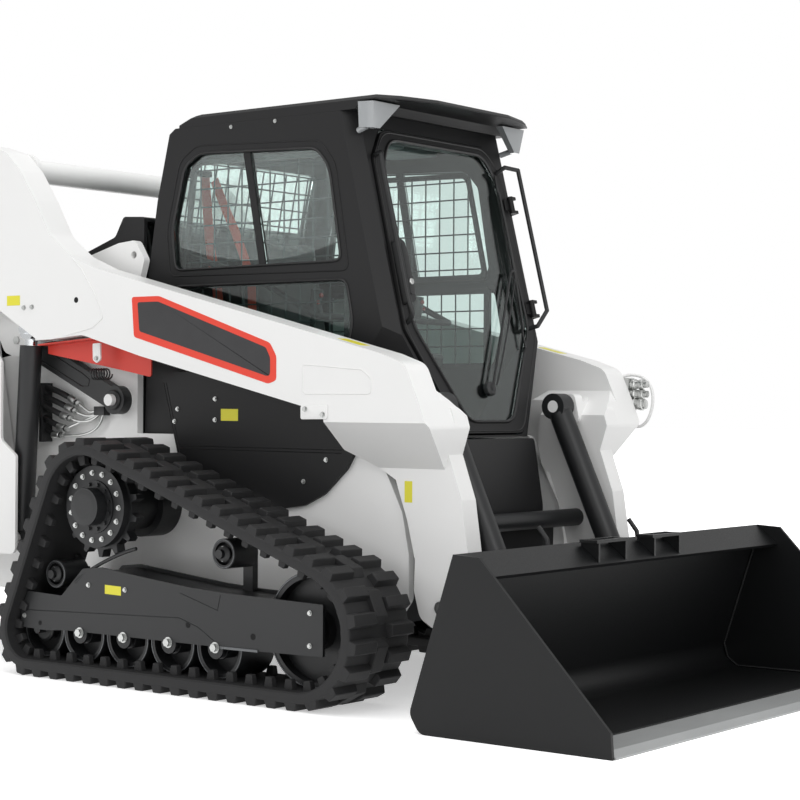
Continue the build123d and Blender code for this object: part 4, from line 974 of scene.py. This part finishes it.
UPPER_GUARD = ((-402, 1505), (-350, 1890), (268, 1880), (350, 1505))
LOWER_GUARD = ((-395, 1160), (-395, 1435), (365, 1435), (365, 1160))
UPPER_PANE = ((-422, 1500), (-439, 1650), (-377, 1885), (-302, 1930), (258, 1908), (318, 1840), (375, 1505))
LOWER_PANE = ((-427, 1150), (-427, 1440), (398, 1440), (428, 1290), (393, 1150))


def crossings(rows, axis, level):
    """Where a level line enters and leaves a convex outline."""
    other = 1 - axis
    hits = []
    for a, b in zip(rows, rows[1:] + rows[:1]):
        if (a[axis] - level) * (b[axis] - level) < 0:
            t = (level - a[axis]) / (b[axis] - a[axis])
            hits.append(a[other] + (b[other] - a[other]) * t)
    return (min(hits), max(hits)) if len(hits) > 1 else None


def grid_lines(rows, pitch):
    """Crossing wires of a guard: lines of two points in its own plane."""
    rows = list(rows)
    lines = []
    for axis in (0, 1):
        low, high = min(r[axis] for r in rows), max(r[axis] for r in rows)
        count = int((high - low) / pitch)
        start = low + ((high - low) - count * pitch) / 2
        for n in range(count + 1):
            level = start + n * pitch
            ends = crossings(rows, axis, level)
            if ends and ends[1] - ends[0] > pitch / 2:
                pair = [(level, e) if axis == 0 else (e, level) for e in ends]
                lines.append((axis, pair))
    return lines


def window_guards(pitch, radius):
    """Welded mesh inside the side windows and the rear window."""
    for side in (-1, 1):
        tag = "left" if side > 0 else "right"
        lines = []
        for rows in (UPPER_GUARD, LOWER_GUARD):
            for axis, pair in grid_lines(rows, pitch):
                y = side * (GUARD_PLANE + (radius if axis else -radius))
                lines.append([(x, y, z) for x, z in pair])
        wires("guard_mesh_" + tag, lines, radius, guard_wire, "chassis")
    lines = []
    for axis, pair in grid_lines(((-372, 1508), (-372, 1922), (372, 1922), (372, 1508)), pitch):
        ends = []
        for y, z in pair:
            back = -521 + (z - 1766) * 0.25 if z > 1766 else -521 - (1766 - z) * 0.16
            ends.append((back + 34 + (radius if axis else -radius), y, z))
        lines.append(ends)
    wires("guard_mesh_rear", lines, radius, guard_wire, "chassis")


def window_seals(radius):
    """Rubber round the side panes, the door's glass and its leaf, and the pressed moulding round the side
    windows.
    """
    for side in (-1, 1):
        tag = "left" if side > 0 else "right"
        panes = (UPPER_PANE, LOWER_PANE)
        loops = [on_side(rounded(list(rows), 34, 4), side * CAB_FACE) for rows in panes]
        wires("side_seals_" + tag, loops, radius, extruded_rubber, "chassis", closed=True)
        mould = rounded([(-448, 1478), (-466, 1650), (-402, 1905), (-318, 1958), (276, 1934), (346, 1850),
                         (410, 1470)], 34, 4)
        wires("side_moulding_" + tag, [on_side(mould, side * CAB_FACE)], 2.4, charcoal_powder_coat,
              "chassis", closed=True)
    glass = rounded(mirrored([(138, 945), (362, 1285), (350, 1848), (288, 1942)]), 50, 5)
    wires("door_glass_seal", [[door_point(y, z, 0) for y, z in glass]], radius * 1.2, extruded_rubber, "door",
          closed=True)
    leaf = rounded(mirrored([(196, 912), (403, 1265), (391, 1864), (314, 1967)]), 50, 5)
    wires("door_leaf_seal", [[door_point(y, z, -1) for y, z in leaf]], 3.0, extruded_rubber, "door",
          closed=True)


def ribbon(bm, rows, y, width, thickness):
    """Flat strap in a plane of constant y, following x, z rows."""
    left, right = [], []
    for i, row in enumerate(rows):
        a, b = Vector(rows[max(i - 1, 0)]), Vector(rows[min(i + 1, len(rows) - 1)])
        way = (b - a).normalized()
        across = Vector((way[1], -way[0])) * width / 2
        left.append(Vector(row) + across)
        right.append(Vector(row) - across)
    for i in range(len(rows) - 1):
        prism(bm, [(left[i][0], y, left[i][1]), (left[i + 1][0], y, left[i + 1][1]),
                   (right[i + 1][0], y, right[i + 1][1]), (right[i][0], y, right[i][1])], (0, thickness, 0))


WEBBING_THICKNESS = 1.6


def seat_belt(width):
    """Two strands of webbing from the anchor behind the operator's right shoulder."""
    bm = bmesh.new()
    to_floor = [(-428, 1868), (-410, 1700), (-394, 1575), (-366, 1470), (-352, 1370), (-346, 1200),
                (-345, 1010)]
    ribbon(bm, to_floor, -302, width, WEBBING_THICKNESS)
    to_buckle = [(-384, 1850), (-330, 1745), (-280, 1657), (-225, 1540), (-193, 1450), (-188, 1335),
                 (-186, 1204)]
    ribbon(bm, to_buckle, -296, width * 0.85, WEBBING_THICKNESS)
    from_bmesh("seat_belt", bm, belt_webbing, "chassis")
    bm = bmesh.new()
    prism(bm, [(-442, -434, 1846), (-382, -434, 1846), (-392, -434, 1896), (-432, -434, 1896)], (0, 8, 0))
    prism(bm, [(-424, -427, 1862), (-396, -427, 1862), (-396, -427, 1884), (-424, -427, 1884)], (0, 134, 0))
    prism(bm, [(-214, -314, 1196), (-160, -314, 1196), (-166, -314, 1262), (-208, -314, 1262)], (0, 22, 0))
    prism(bm, [(-372, -314, 905), (-318, -314, 905), (-330, -314, 1030), (-360, -314, 1030)], (0, 22, 0))
    from_bmesh("belt_anchors", bm, moulded_plastic, "chassis", 3.0)


def cab_trim():
    """Ceiling pads, lever boots, their buttons, and the screws of the roof."""
    bm = bmesh.new()
    for x0, x1, y0, y1 in ((40, 190, 10, 150), (-80, 150, 185, 415), (-80, 150, -415, -185)):
        ring = [(x, y, 1996.5) for x, y in rounded([(x0, y0), (x1, y0), (x1, y1), (x0, y1)], 34, 5)]
        prism(bm, ring, (0, 0, -26))
    from_bmesh("ceiling_pads", bm, headliner_felt, "chassis", 7.0, 40.0)
    for side in (-1, 1):
        tag = "left" if side > 0 else "right"
        bm = bmesh.new()
        folds = [(0, 40), (4, 42), (10, 33), (16, 38), (22, 30), (28, 35), (34, 27), (40, 31), (46, 23),
                 (54, 26), (60, 18), (70, 16)]
        lathe(bm, folds, (100, side * 303, 1200.5), (0.05, 0, 1), 32)
        from_bmesh("lever_boot_" + tag, bm, extruded_rubber, "chassis", sharp=70.0)
        bm = bmesh.new()
        lathe(bm, [(0, 9), (6, 9), (8, 7)], (148, side * 303, 1398), (1, 0, 0.15), 16)
        lathe(bm, [(0, 7), (5, 7)], (146, side * 317, 1372), (1, 0, 0.15), 16)
        from_bmesh("lever_buttons_" + tag, bm, red_lens, "chassis")
        rows = [((x, side * CAB_FACE, z), (0.0, float(side), 0.0)) for x, z in ((-146, 2014), (66, 2018))]
        bolts("roof_screws_" + tag, rows, "chassis", 10, 4, 15)


def door_trim():
    """Pull tube, wiper blade with its second arm, and the lock's cover on the door."""
    grip = [(-384, 1876, -2), (-392, 1880, 36), (-418, 1852, 46), (-420, 1700, 48), (-420, 1500, 48),
            (-420, 1352, 46), (-398, 1300, 40), (-388, 1288, -2)]
    pipe("door_pull_tube", [door_point(*p) for p in grip], 9, moulded_plastic, "door", order=3)
    blade = [(334, 1868, 9), (322, 1640, 8), (312, 1400, 8), (304, 1215, 9)]
    pipe("wiper_rubber", [door_point(*p) for p in blade], 4, extruded_rubber, "door")
    bow = [(330, 1800, 14), (321, 1640, 22), (314, 1440, 22), (307, 1280, 14)]
    pipe("wiper_bow", [door_point(*p) for p in bow], 5, moulded_plastic, "door")
    arm = [(56, 1074, 16), (180, 1250, 22), (312, 1470, 20)]
    pipe("wiper_second_arm", [door_point(*p) for p in arm], 3.5, moulded_plastic, "door")
    pipe("wiper_joint", [door_point(*p) for p in ((296, 1496, 16), (306, 1500, 20), (318, 1502, 20))], 6,
         moulded_plastic, "door")
    bm = bmesh.new()
    cover = rounded([(-391, 1375), (-361, 1380), (-361, 1545), (-391, 1560)], 10)
    prism(bm, [door_point(y, z, 33.5) for y, z in cover], Vector((0.9697, 0, 0.2444)) * 7)
    from_bmesh("door_lock_cover", bm, moulded_plastic, "door", 2.5)
    bm = bmesh.new()
    lathe(bm, [(0, 11), (4, 11), (6, 9)], door_point(-376, 1420, 40), (0.9697, 0, 0.2444), 20)
    from_bmesh("door_lock_barrel", bm, zinc_plate, "door")
    bm = bmesh.new()
    lathe(bm, [(0, 26), (14, 26), (20, 20), (22, 8)], door_point(20, 1060, 0), (0.9697, 0, 0.2444), 28)
    from_bmesh("wiper_motor_cap", bm, moulded_plastic, "door")


# ---------------------------------------------------------------- seat
CLOTH_FRAMES = 20
CLOTH_PRESSURE = 4.0
PAD_START = 0.011  # metres that each side of a pad starts inside its CAD solid
PAD_OVERHANG = 0.004  # furthest that a filled pad may stand out of that solid's box


def cushion(node, name, cap):
    """Pad blown up by a cloth simulation from the CAD solid, a little smaller to start with."""
    bm = bmesh.new()
    bm.from_mesh(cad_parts[node].data)
    bmesh.ops.remove_doubles(bm, verts=bm.verts, dist=0.0001)
    low, high = (Vector(corner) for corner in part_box(node))
    middle, size = (low + high) / 2, high - low
    shrink = [1 - 2 * PAD_START / s for s in size]
    for vertex in bm.verts:
        vertex.co = middle + Vector((a * b for a, b in zip(vertex.co - middle, shrink)))
    mesh = bpy.data.meshes.new(name)
    bm.to_mesh(mesh)
    bm.free()
    pad = bpy.data.objects.new(name, mesh)
    bpy.context.scene.collection.objects.link(pad)
    remesh = pad.modifiers.new("voxels", "REMESH")
    remesh.mode = "VOXEL"
    remesh.voxel_size = 0.006
    graph = bpy.context.evaluated_depsgraph_get()
    start = bpy.data.meshes.new_from_object(pad.evaluated_get(graph), depsgraph=graph)
    pad.modifiers.clear()
    pad.data = start
    rest = [v.co.copy() for v in start.vertices]
    cloth = pad.modifiers.new("air", "CLOTH")
    cloth.settings.use_pressure = True
    cloth.settings.uniform_pressure_force = CLOTH_PRESSURE
    cloth.settings.effector_weights.gravity = 0.0
    cloth.point_cache.frame_start = 1
    cloth.point_cache.frame_end = CLOTH_FRAMES
    scene = bpy.context.scene
    for number in range(1, CLOTH_FRAMES + 1):
        scene.frame_set(number)
    graph = bpy.context.evaluated_depsgraph_get()
    blown = bpy.data.meshes.new_from_object(pad.evaluated_get(graph), depsgraph=graph)
    moved = [v.co.copy() for v in blown.vertices]
    pad.modifiers.clear()
    scene.frame_set(1)
    for vertex, before, after in zip(start.vertices, rest, moved):
        step = after - before
        if step.length > cap:
            step *= cap / step.length
        place = before + step
        for k in range(3):
            place[k] = min(max(place[k], low[k] - PAD_OVERHANG), high[k] + PAD_OVERHANG)
        vertex.co = place
    start.update()
    pad.name = name + "_seed"
    smooth = pad.modifiers.new("smooth", "SMOOTH")
    smooth.factor = 0.5
    smooth.iterations = 6
    graph = bpy.context.evaluated_depsgraph_get()
    done = bpy.data.meshes.new_from_object(pad.evaluated_get(graph), depsgraph=graph)
    bpy.data.objects.remove(pad)
    made = piece(name, done, seat_vinyl, "chassis", 60.0)
    finer = made.modifiers.new("finer", "SUBSURF")
    finer.levels = finer.render_levels = 1
    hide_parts(node)
    return made


def seat_seams():
    """Piped seam round the seat cushion."""
    low, high = (Vector(c) * 1000 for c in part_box("seat_cushion"))
    z = (low[2] + high[2]) / 2 + 14
    ring = rounded([(low[0] + 4, low[1] + 4), (high[0] - 4, low[1] + 4), (high[0] - 4, high[1] - 4),
                    (low[0] + 4, high[1] - 4)], 40, 5)
    wires("cushion_piping", [[(x, y, z) for x, y in ring]], 3.0, seat_vinyl, "chassis", closed=True)


# ---------------------------------------------------------------- bucket and rear
def bucket_trim():
    """Weld beads inside the bucket and along its cutting edge."""
    lines = []
    for side in (-1, 1):
        y = side * 976
        lines.append([(1630, y, 16), (1160, y, 16), (1120, y, 44), (1104, y, 96), (1240, y, 514)])
    beads("bucket_welds", lines, 5.5, 7.0, bucket_enamel, "bucket_and_coupler")
    lines = [[(1640, side * 975, 23), (1770, side * 975, 23)] for side in (-1, 1)]
    lines.append([(1640, -970, 23), (1640, 970, 23)])
    beads("edge_welds", lines, 3.2, 5.0, bucket_enamel, "bucket_and_coupler")


def rear_trim():
    """Grille wires behind the tailgate's slots."""
    lines = [[(-1738, y, 520), (-1738, y, 1060)] for y in range(-380, 381, 40)]
    wires("grille_wires", lines, 2.0, guard_wire, "tailgate")


# ---------------------------------------------------------------- stage
def camera_and_light(sizes):
    """Camera, white surroundings, floor that fades to white, and three soft lamps."""
    scene = bpy.context.scene
    scene.view_settings.view_transform = "Standard"
    camera = bpy.data.objects.new("camera", bpy.data.cameras.new("camera"))
    camera.data.lens = 88.98
    camera.data.shift_x = 0.0439
    camera.data.shift_y = 0.0042
    turn = Matrix.Rotation(math.radians(38.278), 4, "Z") @ Matrix.Rotation(math.radians(90 - 0.081), 4, "X")
    turn = turn @ Matrix.Rotation(math.radians(0.316), 4, "Z")
    camera.matrix_world = Matrix.Translation((4.713, -5.828, 1.018)) @ turn
    scene.collection.objects.link(camera)
    scene.camera = camera
    world = bpy.data.worlds.new("studio")
    world.use_nodes = True
    scene.world = world
    tree = world.node_tree
    tree.nodes.clear()
    path = add(tree, "ShaderNodeLightPath")
    seen = add(tree, "ShaderNodeMath",
               {0: path.outputs["Is Camera Ray"], 1: path.outputs["Is Transmission Ray"]},
               operation="MAXIMUM")
    strength = add(tree, "ShaderNodeMapRange",
                   {"Value": seen.outputs[0], "To Min": sizes.ambient, "To Max": 1.0})
    sky = add(tree, "ShaderNodeBackground", {"Color": (1, 1, 1, 1), "Strength": strength.outputs["Result"]})
    add(tree, "ShaderNodeOutputWorld", {"Surface": sky.outputs[0]})
    mesh = bpy.data.meshes.new("floor")
    mesh.from_pydata([(-60, -60, 0), (60, -60, 0), (60, 60, 0), (-60, 60, 0)], [], [(0, 1, 2, 3)])
    floor = bpy.data.objects.new("floor", mesh)
    scene.collection.objects.link(floor)
    material, tree, place, shader = start_material("matt_white_floor", {
        "Base Color": linear("#F4F4F4"), "Roughness": 0.9, "Specular IOR Level": 0.05})
    path = add(tree, "ShaderNodeLightPath")
    seen = add(tree, "ShaderNodeMath", {0: path.outputs["Is Camera Ray"], 1: path.outputs["Is Glossy Ray"]},
               operation="MAXIMUM")
    far = add(tree, "ShaderNodeVectorMath", {0: place}, operation="LENGTH")
    fade = add(tree, "ShaderNodeMapRange", {"Value": far.outputs["Value"], "From Min": 1.6, "From Max": 4.2,
                                            "To Min": sizes.floor_glow, "To Max": 1.0})
    glow = add(tree, "ShaderNodeMath", {0: fade.outputs["Result"], 1: seen.outputs[0]}, operation="MULTIPLY")
    light = add(tree, "ShaderNodeEmission", {"Color": (1, 1, 1, 1), "Strength": glow.outputs[0]})
    both = add(tree, "ShaderNodeAddShader", {0: shader.outputs["BSDF"], 1: light.outputs[0]})
    output = next(n for n in tree.nodes if n.type == "OUTPUT_MATERIAL")
    tree.links.new(both.outputs[0], output.inputs["Surface"])
    mesh.materials.append(material)
    for name, where, size, power in (("overhead_softbox", (0.5, -1.0, 6.0), 6.0, sizes.overhead),
                                     ("key_softbox", (7.2, -3.6, 3.6), 3.0, sizes.key),
                                     ("side_softbox", (-5.0, -6.0, 3.5), 3.0, sizes.fill)):
        light = bpy.data.lights.new(name, "AREA")
        light.shape = "DISK"
        light.size = size
        light.energy = power
        lamp = bpy.data.objects.new(name, light)
        lamp.location = where
        lamp.rotation_euler = (Vector((0, 0, 0.8)) - Vector(where)).to_track_quat("-Z", "Y").to_euler()
        lamp.visible_glossy = name != "side_softbox"
        scene.collection.objects.link(lamp)


# ---------------------------------------------------------------- what a user may change
def colour_property(key, name, description):
    """Colour property whose default is the colour of that key."""
    return FloatVectorProperty(name=name, description=description, default=linear(COLOURS[key])[:3], size=3,
                               min=0.0, max=1.0, subtype="COLOR")


class LoaderColours(bpy.types.PropertyGroup):
    panels: colour_property("panels", "Panels", "Lift arms, frame sides, rear links and rear cheeks")
    cab: colour_property("cab", "Cab", "Cab, door, hood, tailgate and side panels")
    chassis: colour_property("chassis", "Chassis", "Lower frame, track frames, wheels, cylinders and coupler")
    bucket: colour_property("bucket", "Bucket", "Bucket and its steps")
    accent: colour_property("accent", "Accent", "The arm support")
    tracks: colour_property("tracks", "Tracks", "Rubber of the belts and their lugs")
    seat: colour_property("seat", "Seat", "Vinyl of the cushion and the backrest")
    webbing: colour_property("webbing", "Webbing", "Raised threads of the seat belt")
    labels: colour_property("labels", "Labels", "The plain plates on arms, flanks and track frames")
    glass: colour_property("glass", "Glass", "Tint of the panes")


class LoaderUndercarriage(bpy.types.PropertyGroup):
    lug_height: FloatProperty(name="Lug height", description="How far a tread block stands over the belt",
                              default=0.024, min=0.01, max=0.024, subtype="DISTANCE", unit="LENGTH")
    lug_taper: FloatProperty(name="Lug taper",
                             description="Length of a block's top over the length of its foot",
                             default=0.68, min=0.4, max=1.0, subtype="FACTOR")
    bolt_width: FloatProperty(name="Bolt width", description="Width across the corners of a sprocket bolt",
                              default=0.019, min=0.01, max=0.03, subtype="DISTANCE", unit="LENGTH")


class LoaderCab(bpy.types.PropertyGroup):
    mesh_pitch: FloatProperty(name="Mesh pitch", description="Spacing of the window guards' wires",
                              default=0.068, min=0.03, max=0.1, subtype="DISTANCE", unit="LENGTH")
    wire_radius: FloatProperty(name="Wire radius", description="Radius of the window guards' wires",
                               default=0.0032, min=0.001, max=0.004, subtype="DISTANCE", unit="LENGTH")
    seal_radius: FloatProperty(name="Seal radius", description="Radius of the rubber round the panes",
                               default=0.0055, min=0.003, max=0.01, subtype="DISTANCE", unit="LENGTH")
    belt_width: FloatProperty(name="Webbing width", description="Width of the seat belt",
                              default=0.047, min=0.03, max=0.06, subtype="DISTANCE", unit="LENGTH")
    seat_fill: FloatProperty(name="Seat fill", description="How tight the seat's pads are",
                             default=0.7, min=0.0, max=1.0, subtype="FACTOR")
    seat_swell: FloatProperty(name="Seat swell",
                              description="Furthest that a point of a pad may move as it fills",
                              default=0.024, min=0.005, max=0.03, subtype="DISTANCE", unit="LENGTH")


class LoaderStudio(bpy.types.PropertyGroup):
    ambient: FloatProperty(name="Ambient", description="Strength of the white surroundings on the machine",
                           default=0.75, min=0.0, max=1.0)
    floor_glow: FloatProperty(name="Floor glow", description="White added to the floor under the machine",
                              default=0.45, min=0.0, max=1.0)
    overhead: FloatProperty(name="Overhead", description="Power of the softbox above", default=110.0, min=0.0,
                            unit="POWER")
    key: FloatProperty(name="Key", description="Power of the softbox at the front", default=130.0, min=0.0,
                       unit="POWER")
    fill: FloatProperty(name="Fill", description="Power of the softbox at the side", default=70.0, min=0.0,
                        unit="POWER")


class LOADER_OT_paint(bpy.types.Operator):
    """Give every CAD node its finish"""
    bl_idname = "loader.paint"
    bl_label = "Paint"

    def execute(self, context):
        for build, names in NODE_FINISH.items():
            for name in names:
                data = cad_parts[name].data
                data.materials.clear()
                data.materials.append(finish(build))
        return {"FINISHED"}


class LOADER_OT_tracks(bpy.types.Operator):
    """Replace the plain tracks by rubber belts with their lugs"""
    bl_idname = "loader.tracks"
    bl_label = "Tracks"

    def execute(self, context):
        sizes = context.scene.loader_undercarriage
        for side in (-1, 1):
            belt(side)
            lugs(side, sizes.lug_height * 1000, sizes.lug_taper)
        return {"FINISHED"}


class LOADER_OT_undercarriage(bpy.types.Operator):
    """Add the bolts, hubs, rims, and the painted shade in the ports of the track frames"""
    bl_idname = "loader.undercarriage"
    bl_label = "Undercarriage trim"

    def execute(self, context):
        for side in (-1, 1):
            undercarriage_trim(side, context.scene.loader_undercarriage.bolt_width * 1000)
        return {"FINISHED"}


class LOADER_OT_arms(bpy.types.Operator):
    """Add the badges, labels, beads and bolts of the lift arms"""
    bl_idname = "loader.arms"
    bl_label = "Arm marks and pins"

    def execute(self, context):
        for side in (-1, 1):
            arm_marks(side)
            pins(side)
            if side < 0:
                support_fittings()
        return {"FINISHED"}


class LOADER_OT_flanks(bpy.types.Operator):
    """Add the folds, bolts and labels of the flanks"""
    bl_idname = "loader.flanks"
    bl_label = "Flanks"

    def execute(self, context):
        for side in (-1, 1):
            flank(side)
        return {"FINISHED"}


class LOADER_OT_lines(bpy.types.Operator):
    """Add the hydraulic hoses, tubes and couplers"""
    bl_idname = "loader.lines"
    bl_label = "Hydraulic lines"

    def execute(self, context):
        for side in (-1, 1):
            hydraulic_lines(side)
        couplers()
        return {"FINISHED"}


class LOADER_OT_windows(bpy.types.Operator):
    """Add the mesh guards and the rubber seals of the windows"""
    bl_idname = "loader.windows"
    bl_label = "Guards and seals"

    def execute(self, context):
        sizes = context.scene.loader_cab
        window_guards(sizes.mesh_pitch * 1000, sizes.wire_radius * 1000)
        window_seals(sizes.seal_radius * 1000)
        return {"FINISHED"}


class LOADER_OT_cab(bpy.types.Operator):
    """Add the belt, pads, boots and door fittings of the cab"""
    bl_idname = "loader.cab"
    bl_label = "Cab trim"

    def execute(self, context):
        seat_belt(context.scene.loader_cab.belt_width * 1000)
        cab_trim()
        door_trim()
        return {"FINISHED"}


class LOADER_OT_seat(bpy.types.Operator):
    """Fill the seat's cushion and back with a cloth simulation"""
    bl_idname = "loader.seat"
    bl_label = "Seat"

    def execute(self, context):
        sizes = context.scene.loader_cab
        cushion("seat_cushion", "seat_pad", sizes.seat_swell)
        cushion("seat_back", "seat_back_pad", sizes.seat_swell)
        seat_seams()
        return {"FINISHED"}


class LOADER_OT_bucket(bpy.types.Operator):
    """Add the welds of the bucket"""
    bl_idname = "loader.bucket"
    bl_label = "Bucket trim"

    def execute(self, context):
        bucket_trim()
        return {"FINISHED"}


class LOADER_OT_rear(bpy.types.Operator):
    """Add the grille wires of the rear"""
    bl_idname = "loader.rear"
    bl_label = "Rear trim"

    def execute(self, context):
        rear_trim()
        return {"FINISHED"}


class LOADER_OT_stage(bpy.types.Operator):
    """Set the camera, the white floor and the soft lamps"""
    bl_idname = "loader.stage"
    bl_label = "Stage"

    def execute(self, context):
        camera_and_light(context.scene.loader_studio)
        return {"FINISHED"}


STEPS = (LOADER_OT_stage, LOADER_OT_paint, LOADER_OT_tracks, LOADER_OT_undercarriage, LOADER_OT_arms,
         LOADER_OT_flanks, LOADER_OT_lines, LOADER_OT_windows, LOADER_OT_cab, LOADER_OT_seat,
         LOADER_OT_bucket, LOADER_OT_rear)
GROUPS = (("loader_colours", LoaderColours), ("loader_undercarriage", LoaderUndercarriage),
          ("loader_cab", LoaderCab), ("loader_studio", LoaderStudio))


class LOADER_PT_steps(bpy.types.Panel):
    """Sizes and steps of the loader's finish"""
    bl_idname = "LOADER_PT_steps"
    bl_label = "Compact track loader"
    bl_space_type = "VIEW_3D"
    bl_region_type = "UI"
    bl_category = "Loader"

    def draw(self, context):
        for name, group in GROUPS:
            column = self.layout.column(align=True)
            for key in group.__annotations__:
                column.prop(getattr(context.scene, name), key)
        column = self.layout.column(align=True)
        for step in STEPS:
            column.operator(step.bl_idname)


def register():
    for name, group in GROUPS:
        bpy.utils.register_class(group)
        setattr(bpy.types.Scene, name, PointerProperty(type=group))
    for step in STEPS:
        bpy.utils.register_class(step)
    bpy.utils.register_class(LOADER_PT_steps)


def unregister():
    bpy.utils.unregister_class(LOADER_PT_steps)
    for step in reversed(STEPS):
        bpy.utils.unregister_class(step)
    for name, group in reversed(GROUPS):
        delattr(bpy.types.Scene, name)
        bpy.utils.unregister_class(group)


def main():
    register()
    for step in STEPS:
        group, call = step.bl_idname.split(".")
        getattr(getattr(bpy.ops, group), call)()


if __name__ == "__main__":
    main()
